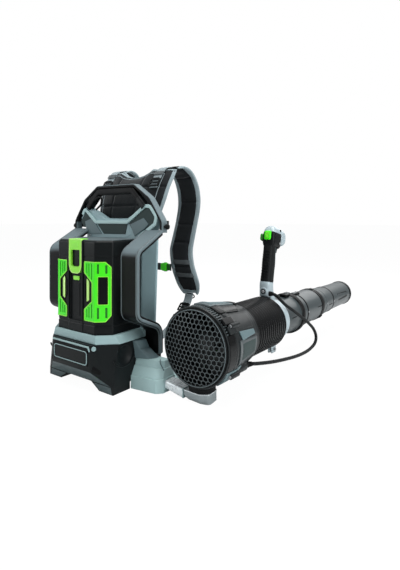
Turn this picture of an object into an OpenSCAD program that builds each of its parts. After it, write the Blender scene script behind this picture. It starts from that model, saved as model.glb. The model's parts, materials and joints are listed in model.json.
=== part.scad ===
// Backpack leaf blower: the battery rides behind the wearer and the fan hangs beside the right hip.
// +X is the wearer's right, +Y the way the wearer faces, +Z up.
// The origin is on the ground, at the middle of the base's underside.

/* [Base] */
// Width of the base over its feet
base_w = 278; // [256:2:300]
// Distance from the origin back to the rear feet
base_back = 170; // [164:1:180]
// Distance from the origin forward to the front foot
base_front = 58; // [30:1:80]
// Height of the base tub
base_h = 130; // [124:1:134]
// How far the nose stands out behind the rear feet
nose_reach = 30; // [20:1:40]
// Width of the flat face on the nose
nose_w = 164; // [140:2:180]
// Height of the arch between the rear feet
arch_h = 20; // [12:1:26]
// Width of the arch at the ground
arch_w = 168; // [140:2:180]
// Wall thickness of the base and the fan covers
wall = 3; // [2:0.5:4]

/* [Battery] */
// Width of the battery pack
pack_w = 230; // [210:2:236]
// Depth of the battery pack
pack_d = 138; // [130:1:139]
// Height of the battery pack
pack_h = 259; // [220:1:275]
// Width of the middle column on the back of the pack
column_w = 66; // [50:1:76]
// Lift of the pack above the top of the base
dock_lift = 20; // [14:1:26]
// Gap round the pack in its dock
dock_gap = 0.6; // [0.4:0.1:1.5]

/* [Back frame] */
// Thickness of the back panel shell
panel_t = 24; // [16:1:26]
// Half width of the back panel at the dock
panel_half_low = 147; // [140:1:150]
// Half width of the back panel at its corners
panel_half_top = 174; // [160:1:178]
// Height of the panel's corners
panel_corner_z = 470; // [455:1:480]
// Half width of the side frames
frame_half = 194; // [190:1:196]
// Width of the side frame bars
bar_w = 65; // [56:1:68]
// Thickness of the side frame bars
bar_t = 12; // [8:1:16]
// Distance of the rear bars behind the origin
bar_back = 136; // [120:1:150]
// Height of the frame's shoulders
shoulder_z = 436; // [430:1:440]
// Height of the top of the carry handle
handle_z = 572; // [560:1:590]
// Half width of the flat top of the carry handle
handle_half = 83; // [70:1:95]
// Diameter of the handle's grip section
handle_t = 20; // [14:1:24]

/* [Fan] */
// Distance of the fan axis to the right of the middle
fan_x = 346; // [344:1:352]
// Height of the fan axis at the intake
fan_z = 144; // [143:1:150]
// How far the fan and tube slope down towards the nozzle, in degrees
slope = 0.7; // [0:0.1:1]
// Radius of the intake guard
guard_r = 98; // [92:1:100]
// Depth of the intake guard's dome
dome_h = 16; // [8:1:24]
// Distance between the middles of the guard's cells
cell_pitch = 13; // [12:0.5:20]
// Width of the ribs between the guard's cells
cell_rib = 3; // [2:0.5:4]
// Radius of the duct at the impeller
duct_r = 80; // [76:1:82]
// Radius of the hub of the impeller and stator
hub_r = 34; // [30:1:38]
// Number of impeller blades
blades = 11; // [7:1:13]
// Number of stator vanes
vanes = 7; // [5:1:9]
// Radius of the rotor shaft
shaft_r = 4; // [3:0.5:5]
// Radius of the pivot pin that carries the fan
pin_r = 8; // [6:0.5:10]
// Radius of the rubber boot round the pivot
boot_r = 35; // [32:1:37]

/* [Tubes] */
// Number of ribs on the bellows
ribs = 14; // [8:1:20]
// Radius over the ribs of the bellows
bellows_r = 80; // [76:0.5:82]
// Depth of the ribs
rib_h = 6; // [4:0.5:8]
// Radius of the swivel tube
tube_a_r = 61; // [58:0.5:63]
// Radius of the middle tube
tube_b_r = 60; // [57:0.5:60]
// Radius of the nozzle at its mouth
mouth_r = 51; // [44:0.5:52]
// Distance of the nozzle's mouth ahead of the origin
mouth_y = 1008; // [900:2:1100]
// Wall thickness of the tubes
tube_wall = 2.5; // [2:0.5:3]

/* [Control handle] */
// Length of the rubber grip
grip_l = 120; // [100:1:130]
// Width of the rubber grip
grip_w = 32; // [26:1:34]
// Depth of the rubber grip
grip_d = 38; // [30:1:40]
// Forward lean of the grip, in degrees
lean = 11.5; // [5:0.5:15]
// Height of the foot of the grip
grip_z = 264; // [258:1:270]
// Travel of the thumb button
button_travel = 3; // [2:0.5:4]

/* [Hidden] */
$fn = 64;

// Clearances
fit_gap = 0.3;
run_gap = 0.05;
eps = 0.01;
// Reach of the tool bodies that cut right through
far = 600;

// Base
half = base_w / 2;
nose_y = -base_back - nose_reach;
chamfer_y = -base_back + 18;
nose_low_z = 58;
cover_t = 4;
cavity_z = arch_h + cover_t;
board_t = 2;
board_top = cavity_z + 16;
tub_half = half - 14;
foot_in = arch_w / 2;
foot_top = foot_in - 34;
foot_l = 62;
bowl_r = 46;
bowl_depth = 9;
bowl_y = -128;
bowl_z = 98;

// Name plate and trim bar on the nose, and the latch button beside them
plate_w = 148;
plate_h = 42;
plate_z = 72;
plate_t = 3;
trim_z = base_h - 8;
latch_r = 6.5;
latch_l = 12;
latch_z = base_h - 9;

// Dock and battery
dock_z = base_h + dock_lift;
ledge_top = dock_z + 3;
pack_rear = -base_back - 12;
pack_front = pack_rear + pack_d;
pack_top = dock_z + pack_h;
column_proud = 2;
column_half = column_w / 2;
cell_wall = 8;
flank_half = 80;
flank_y = pack_rear + 33;

// Socket in the base and plug in the battery: half widths, and places along Y
socket_half = 30;
socket_y = [-60, -40];
blade_y = [-56, -44];
blade_t = 2;
blade_rows = [-18, -6, 6, 18];
plug_half = 34;
plug_rear = -62;
plug_h = 14;

// Lifting handle in its channel, and the green wings on the pack
handle_low = pack_top - 93;
handle_half_w = 25;
handle_d = 6;
channel_y = pack_rear + 4;
wing_low = dock_z + 39;
wing_top = pack_top - 59;
wing_mid = (wing_low + wing_top) / 2;
wing_in = column_half + 6;
wing_out = pack_w / 2 - 3;
wing_notch = 32;
wing_proud = 1.5;
wing_sink = 2;

// Back frame
panel_front = -10;
panel_rear = panel_front - panel_t;
bar_in = frame_half - bar_w;
liner_t = 5;
post_y = -46;
post_z = 157;
post_foot = 90;
low_z = 198;
high_z = 380;
frame_y0 = panel_rear - 4;
frame_y1 = frame_y0 + 24;
band_t = 10;
arch_half = 194;

// Harness: strap centres as [x, y, z, half width, half thickness], webbing paths in (y, z)
strap_path = [[110, 89.5, 625, 36, 6.5], [112, 115, 630, 38, 9], [114, 140, 622, 40, 10],
  [117, 160, 602, 40, 10], [119, 174, 572, 41, 10], [120, 181, 540, 41, 10], [116, 186, 508, 41, 10],
  [108, 189, 476, 41, 10], [101, 188, 443, 41, 10], [94, 184, 405, 42, 10], [89, 178, 363, 43, 10],
  [96, 174, 323, 43, 10], [105, 174, 292, 44, 10], [116, 177, 261, 43, 10], [126, 180, 226, 40, 9]];
yoke_path = [[0, -6.9, 452, 128, 7], [0, -2.7, 470, 133, 7], [0, -1, 490, 138, 8],
  [0, 8, 530, 146, 8], [0, 22, 566, 148, 8], [0, 42, 598, 148, 8], [0, 62, 622, 144, 7]];
pad_path = [[0, 2.3, 164, 110, 10], [0, 2.3, 230, 122, 12], [0, 2.3, 300, 126, 12],
  [0, 2.3, 370, 124, 12], [0, 2.3, 440, 112, 10]];
neck_half = 66;
neck_dip = 26;
lifter_path = [[22, 562], [39, 592], [63.2, 622], [92, 630]];
lifter_x = 90;
webbing_path = [[21, 104], [70, 121], [132, 158], [168, 196], [178, 225]];
webbing_x = 108;
webbing_w = 32;
webbing_t = 2;
chest_y = 164;
chest_z = 303;
chest_left = -56.5;
chest_right = 56.5;
buckle_x = [12, 50];

// Fan, seen along its own axis: distances are measured along the axis from the origin plane
guard_y = -84;
rim_y = -60;
seat_y = 95;
bellows_y = seat_y;
bellows_end = 285;
housing_r = guard_r + 5;
neck_r = duct_r + 4;
pivot_x = fan_x - 6;
pivot_y = -45;
cup_z = 26;
pin_z = 7;
impeller_y = -34;
impeller_l = 32;
stator_y = 24;
stator_l = 58;
motor_r = 28;
bearing_r = 9;
bearing_w = 6;
bracket_x1 = 237;
screw_r = 2.5;
screw_at = housing_r + 5;
screw_angles = [35, 145, 215, 325];
screw_l = 24;
gland_l = 12;
gland_r = 8;
// Outer profile of the fan housing, as (radius, distance)
housing_outer = [[guard_r + 3, guard_y], [housing_r, guard_y + 6], [housing_r, rim_y],
                 [housing_r - 3, rim_y + 4], [neck_r + 2, seat_y - 10], [neck_r, seat_y]];

// Tubes along the axis
clamp_y = 292;
clamp_l = 36;
clamp_t = 7;
bolt_r = 3;
ear_x = 11;
ear_half = 8;
ear_low = 104;
flange_y = 436;
flange_l = 20;
joint_b = 655;
joint_c = 784;
mouth_l = 12;

// Control handle
grip_x = fan_x;
grip_y = 299;
head_w = 42;
head_h = 46;
head_l = 60;
head_back = -grip_d / 2 - 3;
button_r = 12;
button_h = grip_l + 26;
button_l = 12;
lever_r = 14;
lever_y = 4;
lever_proud = 5;
trigger_w = 16;

// Control cable, chosen by hand
cable_r = 5;
cable_route = [
  [413, 60, 76], [416, 75, 74], [421, 100, 69], [428, 140, 62], [434, 185, 55], [438, 235, 48],
  [441, 290, 41], [443, 345, 36], [443, 395, 34], [442, 435, 36], [441, 465, 42], [440, 480, 55],
  [438, 480, 73], [436, 462, 95], [434, 434, 115], [431, 400, 136], [427, 362, 158],
  [421, 328, 178], [411, 300, 197], [400, 287, 214], [388, 285, 225], [375, 286, 229],
  [363, 286, 229]];

// ---- helpers ----

function unit(v) = v / norm(v);
function left_of(v) = [-v[1], v[0]];

// Point i of a path, moved sideways by t with mitred corners
function side_point(p, i, t) =
  let (n = len(p),
       a = i == 0 ? unit(p[1] - p[0]) : unit(p[i] - p[i - 1]),
       b = i == n - 1 ? a : unit(p[i + 1] - p[i]),
       m = unit(left_of(a) + left_of(b)))
  p[i] + m * t / (m * left_of(a));

// Outline of a strip that follows path p between the side distances t0 and t1
function strip(p, t0, t1) = concat(
  [for (i = [0 : len(p) - 1]) side_point(p, i, t0)],
  [for (i = [len(p) - 1 : -1 : 0]) side_point(p, i, t1)]);

module both_sides() {
  children();
  mirror([1, 0, 0]) children();
}

module slab_z(points, z0, z1) {
  translate([0, 0, z0]) linear_extrude(z1 - z0) polygon(points);
}

// Outline in (y, z), drawn from x0 to x1
module slab_x(points, x0, x1) {
  translate([x0, 0, 0]) rotate([90, 0, 90]) linear_extrude(x1 - x0) polygon(points);
}

// Outline in (x, z), drawn from y0 to y1
module slab_y(points, y0, y1) {
  translate([0, y1, 0]) rotate([90, 0, 0]) linear_extrude(y1 - y0) polygon(points);
}

module block(x, y, z) {
  translate([x[0], y[0], z[0]]) cube([x[1] - x[0], y[1] - y[0], z[1] - z[0]]);
}

// Rounded rectangle centred on the origin
module round_rect(w, h, r) {
  square([w - 2 * r, h], center = true);
  square([w, h - 2 * r], center = true);
  for (x = [-1, 1], y = [-1, 1]) translate([x * (w / 2 - r), y * (h / 2 - r)]) circle(r);
}

// Places children on the sloping fan axis, whose own +Y runs to the nozzle
module on_axis() {
  translate([fan_x, guard_y, fan_z]) rotate([-slope, 0, 0]) translate([0, -guard_y, 0]) children();
}

// Solid of revolution about the local Y axis; points are (radius, y)
module spun(points) {
  rotate([-90, 0, 0]) rotate_extrude($fn = 96) polygon(points);
}

module ring(r1, r0, y0, y1) {
  spun([[r0, y0], [r1, y0], [r1, y1], [r0, y1]]);
}

module rod(r, y0, y1) {
  translate([0, y0, 0]) rotate([-90, 0, 0]) cylinder(h = y1 - y0, r = r);
}

// Closed tube of points: rings is a list of equal lists of points
module skin(rings) {
  n = len(rings[0]);
  m = len(rings);
  points = [for (r = rings) each r];
  sides = [for (i = [0 : m - 2], j = [0 : n - 1])
    let (a = i * n + j, b = i * n + (j + 1) % n)
    each [[a, b, b + n], [a, b + n, a + n]]];
  first = [for (j = [1 : n - 2]) [0, j + 1, j]];
  last = [for (j = [1 : n - 2]) [(m - 1) * n, (m - 1) * n + j, (m - 1) * n + j + 1]];
  polyhedron(points, concat(sides, first, last));
}

// Round tube of radius r and s sides along a route
function route_ring(p, i, r, s) =
  let (n = len(p),
       t = unit(p[min(i + 1, n - 1)] - p[max(i - 1, 0)]),
       u = unit(cross(t, [0.31, -0.9, 0.3])),
       v = cross(t, u))
  [for (k = [0 : s - 1]) p[i] + r * (cos(360 * k / s) * u + sin(360 * k / s) * v)];

// Padded strip: centres, half widths and half thicknesses, flat across X.
// Its section is a crowned lens with drawn-in edges.
function lens(a, e) = sign(a) * pow(abs(a), e);
function pad_ring(c, d, w, t, s, side) =
  let (nrm = unit(cross(side, d)))
  [for (k = [0 : s - 1])
    let (a = 360 * (k + 0.5) / s)
    c + side * w * lens(cos(a), 0.75) + nrm * t * lens(sin(a), 0.8)];

// Smooth path through hand-chosen points: value at u of [0, 1]
function knot(p, i) = p[max(0, min(len(p) - 1, i))];
function smooth(p, u) =
  let (x = u * (len(p) - 1), i = min(floor(x), len(p) - 2), f = x - i,
       a = knot(p, i - 1), b = knot(p, i), c = knot(p, i + 1), d = knot(p, i + 2))
  b + 0.5 * f * (c - a + f * (2 * a - 5 * b + 4 * c - d + f * (3 * (b - c) + d - a)));

// Padded strip through points [x, y, z, half width, half thickness], with sewn channels.
// twist turns its width about the vertical, bow brings its edges forward, and dip lowers its top middle.
module padded(p, steps, sides, channels = [], twist = 0, bow = 0, dip = 0, round_end = 0) {
  rings = [for (i = [0 : steps])
    let (u = i / steps,
         q = smooth(p, u),
         d = smooth(p, min(u + 0.01, 1)) - smooth(p, max(u - 0.01, 0)),
         end = min(1, 0.35 + 6 * min(u, 1 - u)),
         tip = 1 - round_end * pow(max(0, 1 - (1 - u) * 14), 2),
         sewn = min([1, for (c = channels) 0.45 + abs(u - c) * 22]),
         lowered = dip * pow(max(0, 2 * u - 1), 2))
    [for (v = pad_ring([q[0], q[1], q[2]], unit([d[0], d[1], d[2]]), q[3] * tip, q[4] * end * sewn,
                       sides, [cos(twist), sin(twist), 0]))
      v + [0, bow * pow(v[0] / 140, 2), -lowered * max(0, 1 - pow(abs(v[0]) / neck_half, 3))]]];
  skin(rings);
}

// ---- base ----

module base_shape() {
  plan_top = [[-half, 20], [-half, chamfer_y], [-nose_w / 2, nose_y], [nose_w / 2, nose_y],
              [half, chamfer_y], [half, 20]];
  plan_low = [[-half, 20], [-half, -base_back], [half, -base_back], [half, 20]];
  hull() {
    slab_z(plan_top, nose_low_z, base_h);
    slab_z(plan_low, arch_h, arch_h + 1);
  }
}

module base_housing() {
  color([0.17, 0.18, 0.19]) difference() {
    union() {
      base_shape();
      both_sides() slab_y([[half, 0], [foot_in, 0], [foot_top, arch_h], [foot_top, arch_h + 1],
                           [half, arch_h + 1]], -base_back, -base_back + foot_l);
      // lugs that carry the left side frame
      block([-frame_half, -half + 1], [-76, -20], [44, post_foot]);
    }
    // room for the electronics, open below where the cover closes it
    block([-tub_half, tub_half], [-base_back + 12, 12], [arch_h - 1, base_h - wall]);
    // finger bowls in the side walls
    both_sides() translate([half + bowl_r - bowl_depth, bowl_y, bowl_z]) sphere(r = bowl_r);
    // seats for the name plate and the trim bar
    block([-plate_w / 2 - fit_gap, plate_w / 2 + fit_gap], [nose_y - 1, nose_y + plate_t],
          [plate_z - fit_gap, plate_z + plate_h + fit_gap]);
    latch_place() cylinder(h = 30, r = latch_r + fit_gap, center = true, $fn = 8);
    block([-socket_half, socket_half], socket_y, [base_h - wall - 1, base_h + 1]);
  }
}

module nameplate() {
  color([0.3, 0.31, 0.32]) translate([0, nose_y + plate_t, plate_z + plate_h / 2])
    rotate([90, 0, 0]) linear_extrude(plate_t + 2) round_rect(plate_w, plate_h, 8);
}

module trim_bar() {
  z = trim_z;
  x = nose_w / 2;
  color([0.72, 0.75, 0.76])
    slab_y([[2 - x, z], [x - 8, z], [x - 2, z - 9], [x + 1, z - 9], [x - 4, z + 5], [2 - x, z + 5]],
           nose_y - 3, nose_y);
}

// Middle of the right chamfer of the nose, facing outwards
module latch_place() {
  dx = half - nose_w / 2;
  dy = chamfer_y - nose_y;
  translate([nose_w / 2 + dx * 0.14, nose_y + dy * 0.14, latch_z])
    rotate([0, 0, atan2(dy, dx)]) rotate([90, 0, 0]) children();
}

module battery_latch_button() {
  color([0.6, 0.64, 0.65]) latch_place() translate([0, 0, 4 - latch_l])
    cylinder(h = latch_l, r = latch_r, $fn = 8);
}

module base_bottom_cover() {
  color([0.12, 0.12, 0.13]) {
    // plate that closes the tub
    difference() {
      block([-tub_half + fit_gap, tub_half - fit_gap], [-base_back + 12 + fit_gap, 12 - fit_gap],
            [arch_h - fit_gap, arch_h + cover_t]);
      both_sides() block([foot_in - arch_h, half], [-base_back, -base_back + foot_l + fit_gap],
                         [0, arch_h + cover_t + 1]);
    }
    // front foot, which the whole blower stands on
    block([-half, half], [-30, base_front], [0, arch_h - fit_gap]);
  }
}

module controller_board() {
  z = board_top;
  sink_y = [-120, -70];
  color([0.1, 0.35, 0.2]) block([-70, 70], [-130, -42], [z - board_t, z]);
  // heat sink with its fins
  color([0.7, 0.7, 0.72]) {
    block([-60, 20], sink_y, [z, z + 4]);
    for (i = [0 : 7]) block([-60 + i * 11, -57 + i * 11], sink_y, [z + 4, z + 20]);
  }
  // standoffs down to the cover
  for (x = [-64, 64], y = [-124, -50])
    color("silver") translate([x, y, cavity_z]) cylinder(h = z - board_t - cavity_z, r = 3.5);
}

// ---- battery and dock ----

function pack_outline(g) = [
  [-pack_w / 2 - g, pack_front + g], [-pack_w / 2 - g, flank_y - g],
  [-flank_half - g, pack_rear - g], [-column_half - g, pack_rear - g],
  [-column_half - g + 4, pack_rear - column_proud - g],
  [column_half + g - 4, pack_rear - column_proud - g], [column_half + g, pack_rear - g],
  [flank_half + g, pack_rear - g], [pack_w / 2 + g, flank_y - g], [pack_w / 2 + g, pack_front + g]];

module battery_ledge() {
  low = [[-half, -50], [-half, -146], [-92, -190], [92, -190], [half, -146], [half, -50]];
  top = [[-124, -50], [-124, -149], [-87, -188], [87, -188], [124, -149], [124, -50]];
  color([0.66, 0.7, 0.71]) difference() {
    union() {
      hull() {
        slab_z(low, base_h + fit_gap, base_h + 3);
        slab_z(top, ledge_top - 1, ledge_top);
      }
      block([-half, half], [-50 - eps, panel_rear - fit_gap], [base_h + fit_gap, dock_z - fit_gap]);
    }
    slab_z(pack_outline(dock_gap), dock_z - fit_gap, ledge_top + 5);
    block([-socket_half, socket_half], socket_y, [base_h - 1, dock_z + 1]);
  }
}

module dock_terminals() {
  x = socket_half - fit_gap;
  y = [socket_y[0] + fit_gap, socket_y[1] - fit_gap];
  color([0.1, 0.1, 0.1]) {
    difference() {
      block([-x, x], y, [base_h - 14, dock_z - 4]);
      block([8 - x, x - 8], [y[0] + 5, y[1] - 5], [base_h - 10, base_h + 3]);
    }
    // post that stands on the circuit board
    block([-x, x], blade_y, [board_top, base_h - 14]);
  }
  for (x = blade_rows) color("gold")
    block([x - blade_t / 2, x + blade_t / 2], blade_y, [dock_z - 4, dock_z + 9]);
}

module battery_case() {
  color([0.2, 0.21, 0.22]) difference() {
    slab_z(pack_outline(0), dock_z, pack_top);
    // room for the cells
    slab_z(pack_outline(-cell_wall), dock_z + plug_h, pack_top - 6);
    // slot for the terminals
    block([-plug_half, plug_half], [plug_rear, pack_front + 1], [dock_z - 1, dock_z + plug_h + eps]);
    handle_channel();
    both_sides() wing_skin(fit_gap, wing_sink, 5);
  }
}

// Channel down the middle column, which holds the lifting handle
module handle_channel() {
  block([-handle_half_w - 3, handle_half_w + 3], [pack_rear - column_proud - 1, channel_y],
        [dock_z + 34, pack_top + 1]);
}

module battery_handle() {
  h = handle_half_w;
  color([0.5, 0.85, 0.15]) difference() {
    slab_y([[-h, pack_top + 3], [-h, handle_low + 16], [-h + 12, handle_low], [h - 12, handle_low],
            [h, handle_low + 16], [h, pack_top + 3]], channel_y - handle_d, channel_y);
    // finger window
    block([-h + 7, h - 7], [channel_y - handle_d - 1, channel_y + 1],
          [handle_low + 17, handle_low + 64]);
  }
}

// Outline of a green wing seen from behind, in (x, z)
function wing_outline(g) = [
  [wing_in - g, wing_low - g], [wing_out - 12, wing_low - g], [wing_out + g, wing_low + 15],
  [wing_out + g, wing_top - 12], [wing_out - 12, wing_top + g], [wing_in - g, wing_top + g],
  [wing_in - g, wing_mid + 50 - g], [wing_in + wing_notch - g, wing_mid + 27 - g],
  [wing_in + wing_notch - g, wing_mid - 27 + g], [wing_in - g, wing_mid - 50 + g]];

// Skin of the pack's back and slanted flanks, within the wing's outline
module wing_skin(g, depth, proud) {
  intersection() {
    slab_y(wing_outline(g), pack_rear - 10, pack_rear + 40);
    difference() {
      slab_z(pack_outline(proud), dock_z, pack_top);
      slab_z(pack_outline(-depth), dock_z - 1, pack_top + 1);
    }
  }
}

module battery_panels() {
  color([0.45, 0.85, 0.1]) both_sides() difference() {
    wing_skin(0, wing_sink - fit_gap, wing_proud);
    // grooves
    for (x = [6, 14, 22, 36, 47, 60], z = [wing_low + 8, wing_top - 34])
      block([wing_in + x, wing_in + x + 3], [pack_rear - 10, pack_rear + 40], [z, z + 26]);
  }
}

module battery_gauge() {
  x = wing_in + 6;
  color([0.7, 1, 0.4]) both_sides()
    slab_y([[x, wing_mid - 20], [x + 7, wing_mid - 30], [x + 14, wing_mid - 20], [x + 14, wing_mid + 20],
            [x + 7, wing_mid + 30], [x, wing_mid + 20]], pack_rear - wing_proud, pack_rear);
  color([0.5, 0.85, 0.15])
    block([-13, 13], [channel_y - 3, channel_y], [wing_mid + 27, wing_mid + 38]);
}

module battery_cells() {
  cell_r = 14;
  level_h = 78;
  z0 = dock_z + plug_h + fit_gap;
  color([0.25, 0.45, 0.7])
    for (k = [0 : 2], i = [-1.5 : 1.5], j = [0 : 2])
      translate([i * 42, pack_rear + 34 + j * 32, z0 + k * level_h])
        cylinder(h = 70, r = cell_r, $fn = 24);
  // trays that hold the cells
  color([0.15, 0.15, 0.15]) for (k = [1, 2])
    slab_z(pack_outline(-cell_wall - 1), z0 + k * level_h - 8, z0 + k * level_h);
}

module battery_terminals() {
  color([0.08, 0.08, 0.08]) difference() {
    block([fit_gap - plug_half, plug_half - fit_gap], [plug_rear + fit_gap, pack_front - wall - 1],
          [dock_z + 1, dock_z + plug_h]);
    for (x = blade_rows)
      block([x - blade_t, x + blade_t], [blade_y[0] - 2, blade_y[1] + 2], [dock_z, dock_z + 11]);
  }
}

// ---- back frame ----

// Right half of the back panel's outline, in (x, z)
function panel_half(low) = [[0, low], [panel_half_low, low], [panel_half_low, 171], [158, 430],
  [panel_half_top, panel_corner_z], [146, 508], [132, 508], [48, panel_corner_z], [0, panel_corner_z]];

module back_panel() {
  low = base_h + fit_gap;
  color([0.5, 0.56, 0.58]) difference() {
    both_sides() slab_y(panel_half(low), panel_rear, panel_front);
    // hollow inside
    both_sides() slab_y([[-1, low + 8], [panel_half_low - 8, low + 8], [150, 428], [160, 462], [136, 496],
                         [50, panel_corner_z - 8], [-1, panel_corner_z - 8]],
                        panel_rear + wall, panel_front - wall);
  }
}

// Outer face of the side frame's bar, in (y, z)
bar_path = [[post_y, post_foot], [post_y, post_z], [-bar_back, low_z], [-bar_back, high_z],
            [frame_y0, shoulder_z]];

module frame_bar(x0, x1, t0, t1) {
  difference() {
    slab_x(strip(bar_path, t0, t1), x0, x1);
    // clear of the base, the handle frame and the back panel
    block([-half - fit_gap, half + fit_gap], [nose_y, 0], [0, ledge_top + fit_gap]);
    block([-far, far], [frame_y0 - fit_gap, 0], [300, far]);
    block([-panel_half_top, panel_half_top], [panel_rear - fit_gap, 0], [0, far]);
  }
}

module side_frame_right() {
  color([0.5, 0.53, 0.54]) frame_bar(bar_in, frame_half, -bar_t, 0);
}

module side_frame_left() {
  mirror([1, 0, 0]) side_frame_right();
}

module frame_liners() {
  color([0.1, 0.1, 0.11]) both_sides() frame_bar(bar_in + 4, frame_half - 2, -bar_t - liner_t, -bar_t);
}

// Path of the handle's outer edge, in (x, z), over the whole top
handle_path = [[arch_half, shoulder_z - 8], [arch_half, shoulder_z + 26], [146, handle_z - 42],
               [handle_half, handle_z], [-handle_half, handle_z], [-146, handle_z - 42],
               [-arch_half, shoulder_z + 26], [-arch_half, shoulder_z - 8]];

module handle_frame() {
  color([0.62, 0.66, 0.67]) {
    slab_y(strip(handle_path, 0, band_t), frame_y0, frame_y1);
    // lugs that tie the arch to the panel's corners
    both_sides() {
      block([150, arch_half], [panel_front, panel_front + 4], [440, 462]);
      block([arch_half - band_t, arch_half], [frame_y1 - 1, panel_front + 1], [440, 462]);
    }
  }
}

module carry_handle() {
  x = handle_half - 4;
  grip_path = [[132, handle_z - 62], [x, handle_z - band_t], [-x, handle_z - band_t],
               [-132, handle_z - 62]];
  color([0.13, 0.13, 0.14]) difference() {
    slab_y(strip(grip_path, fit_gap, handle_t), frame_y0 - 4, frame_y1 - 4);
    translate([0, 0, 2 * fit_gap]) both_sides() slab_y(panel_half(300), panel_rear - 20, 0);
  }
}

module shoulder_knobs() {
  color([0.2, 0.2, 0.2]) both_sides()
    translate([arch_half, -26, shoulder_z + 9]) rotate([0, 90, 0]) {
      cylinder(h = 6, r = 4);
      translate([0, 0, 6]) cylinder(h = 8, r = 8);
    }
}

// ---- harness ----

module back_pad() {
  color([0.25, 0.26, 0.27]) padded(pad_path, 24, 20, [0.25, 0.5, 0.75]);
}

module harness_yoke() {
  color([0.28, 0.29, 0.3]) padded(yoke_path, 20, 28, bow = 26, dip = neck_dip);
}

module shoulder_strap_right() {
  color([0.2, 0.21, 0.22]) padded(strap_path, 48, 12, [0.34, 0.5, 0.63], twist = 10, round_end = 0.6);
}

module shoulder_strap_left() {
  mirror([1, 0, 0]) shoulder_strap_right();
}

module load_lifters() {
  color([0.3, 0.31, 0.32]) both_sides()
    slab_x(strip(lifter_path, 0, webbing_t), lifter_x, lifter_x + webbing_w);
}

module lower_webbings() {
  color([0.55, 0.58, 0.6]) both_sides()
    slab_x(strip(webbing_path, 0, webbing_t), webbing_x, webbing_x + webbing_w);
}

// Slotted bar lying on webbing that runs from p to q, given in (y, z)
module slide_bar(x, p, q) {
  dir = unit(q - p);
  at = (p + q) / 2 + left_of(dir) * (webbing_t + run_gap);
  translate([x, at[0], at[1]]) rotate([atan2(dir[1], dir[0]), 0, 0]) difference() {
    translate([-20, -14, 0]) cube([40, 28, 5]);
    for (y = [-9, 3]) translate([-16.5, y, -1]) cube([33, 6, 8]);
  }
}

module strap_buckles() {
  color([0.45, 0.47, 0.48]) both_sides() {
    slide_bar(lifter_x + webbing_w / 2, lifter_path[0], lifter_path[1]);
    slide_bar(webbing_x + webbing_w / 2, webbing_path[2], webbing_path[3]);
  }
}

module chest_strap() {
  color([0.35, 0.36, 0.37]) {
    block([chest_left, buckle_x[0]], [chest_y, chest_y + webbing_t], [chest_z - 12, chest_z + 12]);
    block([buckle_x[1], chest_right], [chest_y, chest_y + webbing_t], [chest_z - 12, chest_z + 12]);
  }
}

module chest_buckle() {
  color([0.4, 0.8, 0.1])
    block(buckle_x, [chest_y - 4, chest_y + 7], [chest_z - 15, chest_z + 15]);
}

// ---- swivel mount ----

module base_bracket() {
  x0 = half + fit_gap;
  color([0.66, 0.7, 0.71]) {
    hull() {
      slab_z([[x0, -30], [x0, -107], [222, -96], [bracket_x1, -80], [bracket_x1, -30]], 0, 38);
      slab_z([[x0, -40], [x0, -86], [205, -78], [228, -62], [228, -40]], 70, 82);
    }
    // gusset up to the side frame and the ledge
    difference() {
      hull() {
        slab_z([[x0, -44], [x0, -92], [185, -80], [196, -44]], 81, 88);
        slab_z([[x0, -62], [x0, -100], [150, -96], [158, -62]], base_h - 3, base_h);
      }
      block([x0 - 1, 240], [post_y - 6, post_y + bar_t + liner_t + 30], [post_foot, 200]);
    }
    // low foot that runs forward under the fan
    block([x0, bracket_x1], [-30 - eps, base_front], [0, arch_h - fit_gap]);
  }
}

module swivel_arm() {
  px = pivot_x;
  py = pivot_y;
  color([0.8, 0.83, 0.84]) difference() {
    union() {
      // bar from the bracket
      hull() {
        slab_x([[-76, 12], [-34, 12], [-34, 34], [-72, 34]], bracket_x1 + fit_gap, bracket_x1 + 2);
        slab_x([[-76, 8], [-68, 1], [-26, 1], [-26, 27], [-74, 27]], px - 42, px - 40);
      }
      // plate under the boot
      hull() {
        slab_z([[px - 38, py - 21], [px + 40, py - 22], [px + 34, py + 20], [px + 12, py + 36],
                [px - 22, py + 36], [px - 38, py + 22]], 0, 1);
        slab_z([[px - 42, py - 31], [px + 14, py - 35], [px + 37, py - 22], [px + 33, py + 18],
                [px + 12, py + 35], [px - 22, py + 35], [px - 42, py + 20]], 10, cup_z);
      }
    }
    translate([px, py, pin_z]) cylinder(h = 60, r = pin_r + run_gap);
  }
}

module pivot_pin() {
  color("silver") translate([pivot_x, pivot_y, pin_z]) cylinder(h = 32, r = pin_r);
}

module housing_envelope(g) {
  on_axis() rod(housing_r + g, guard_y - 8, seat_y);
}

module pivot_boot() {
  color([0.15, 0.15, 0.16]) difference() {
    translate([pivot_x, pivot_y, cup_z + fit_gap]) cylinder(h = 40, r = boot_r);
    housing_envelope(fit_gap);
    translate([pivot_x, pivot_y, 0]) cylinder(h = 60, r = pin_r + run_gap);
  }
}

// ---- fan ----

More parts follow.
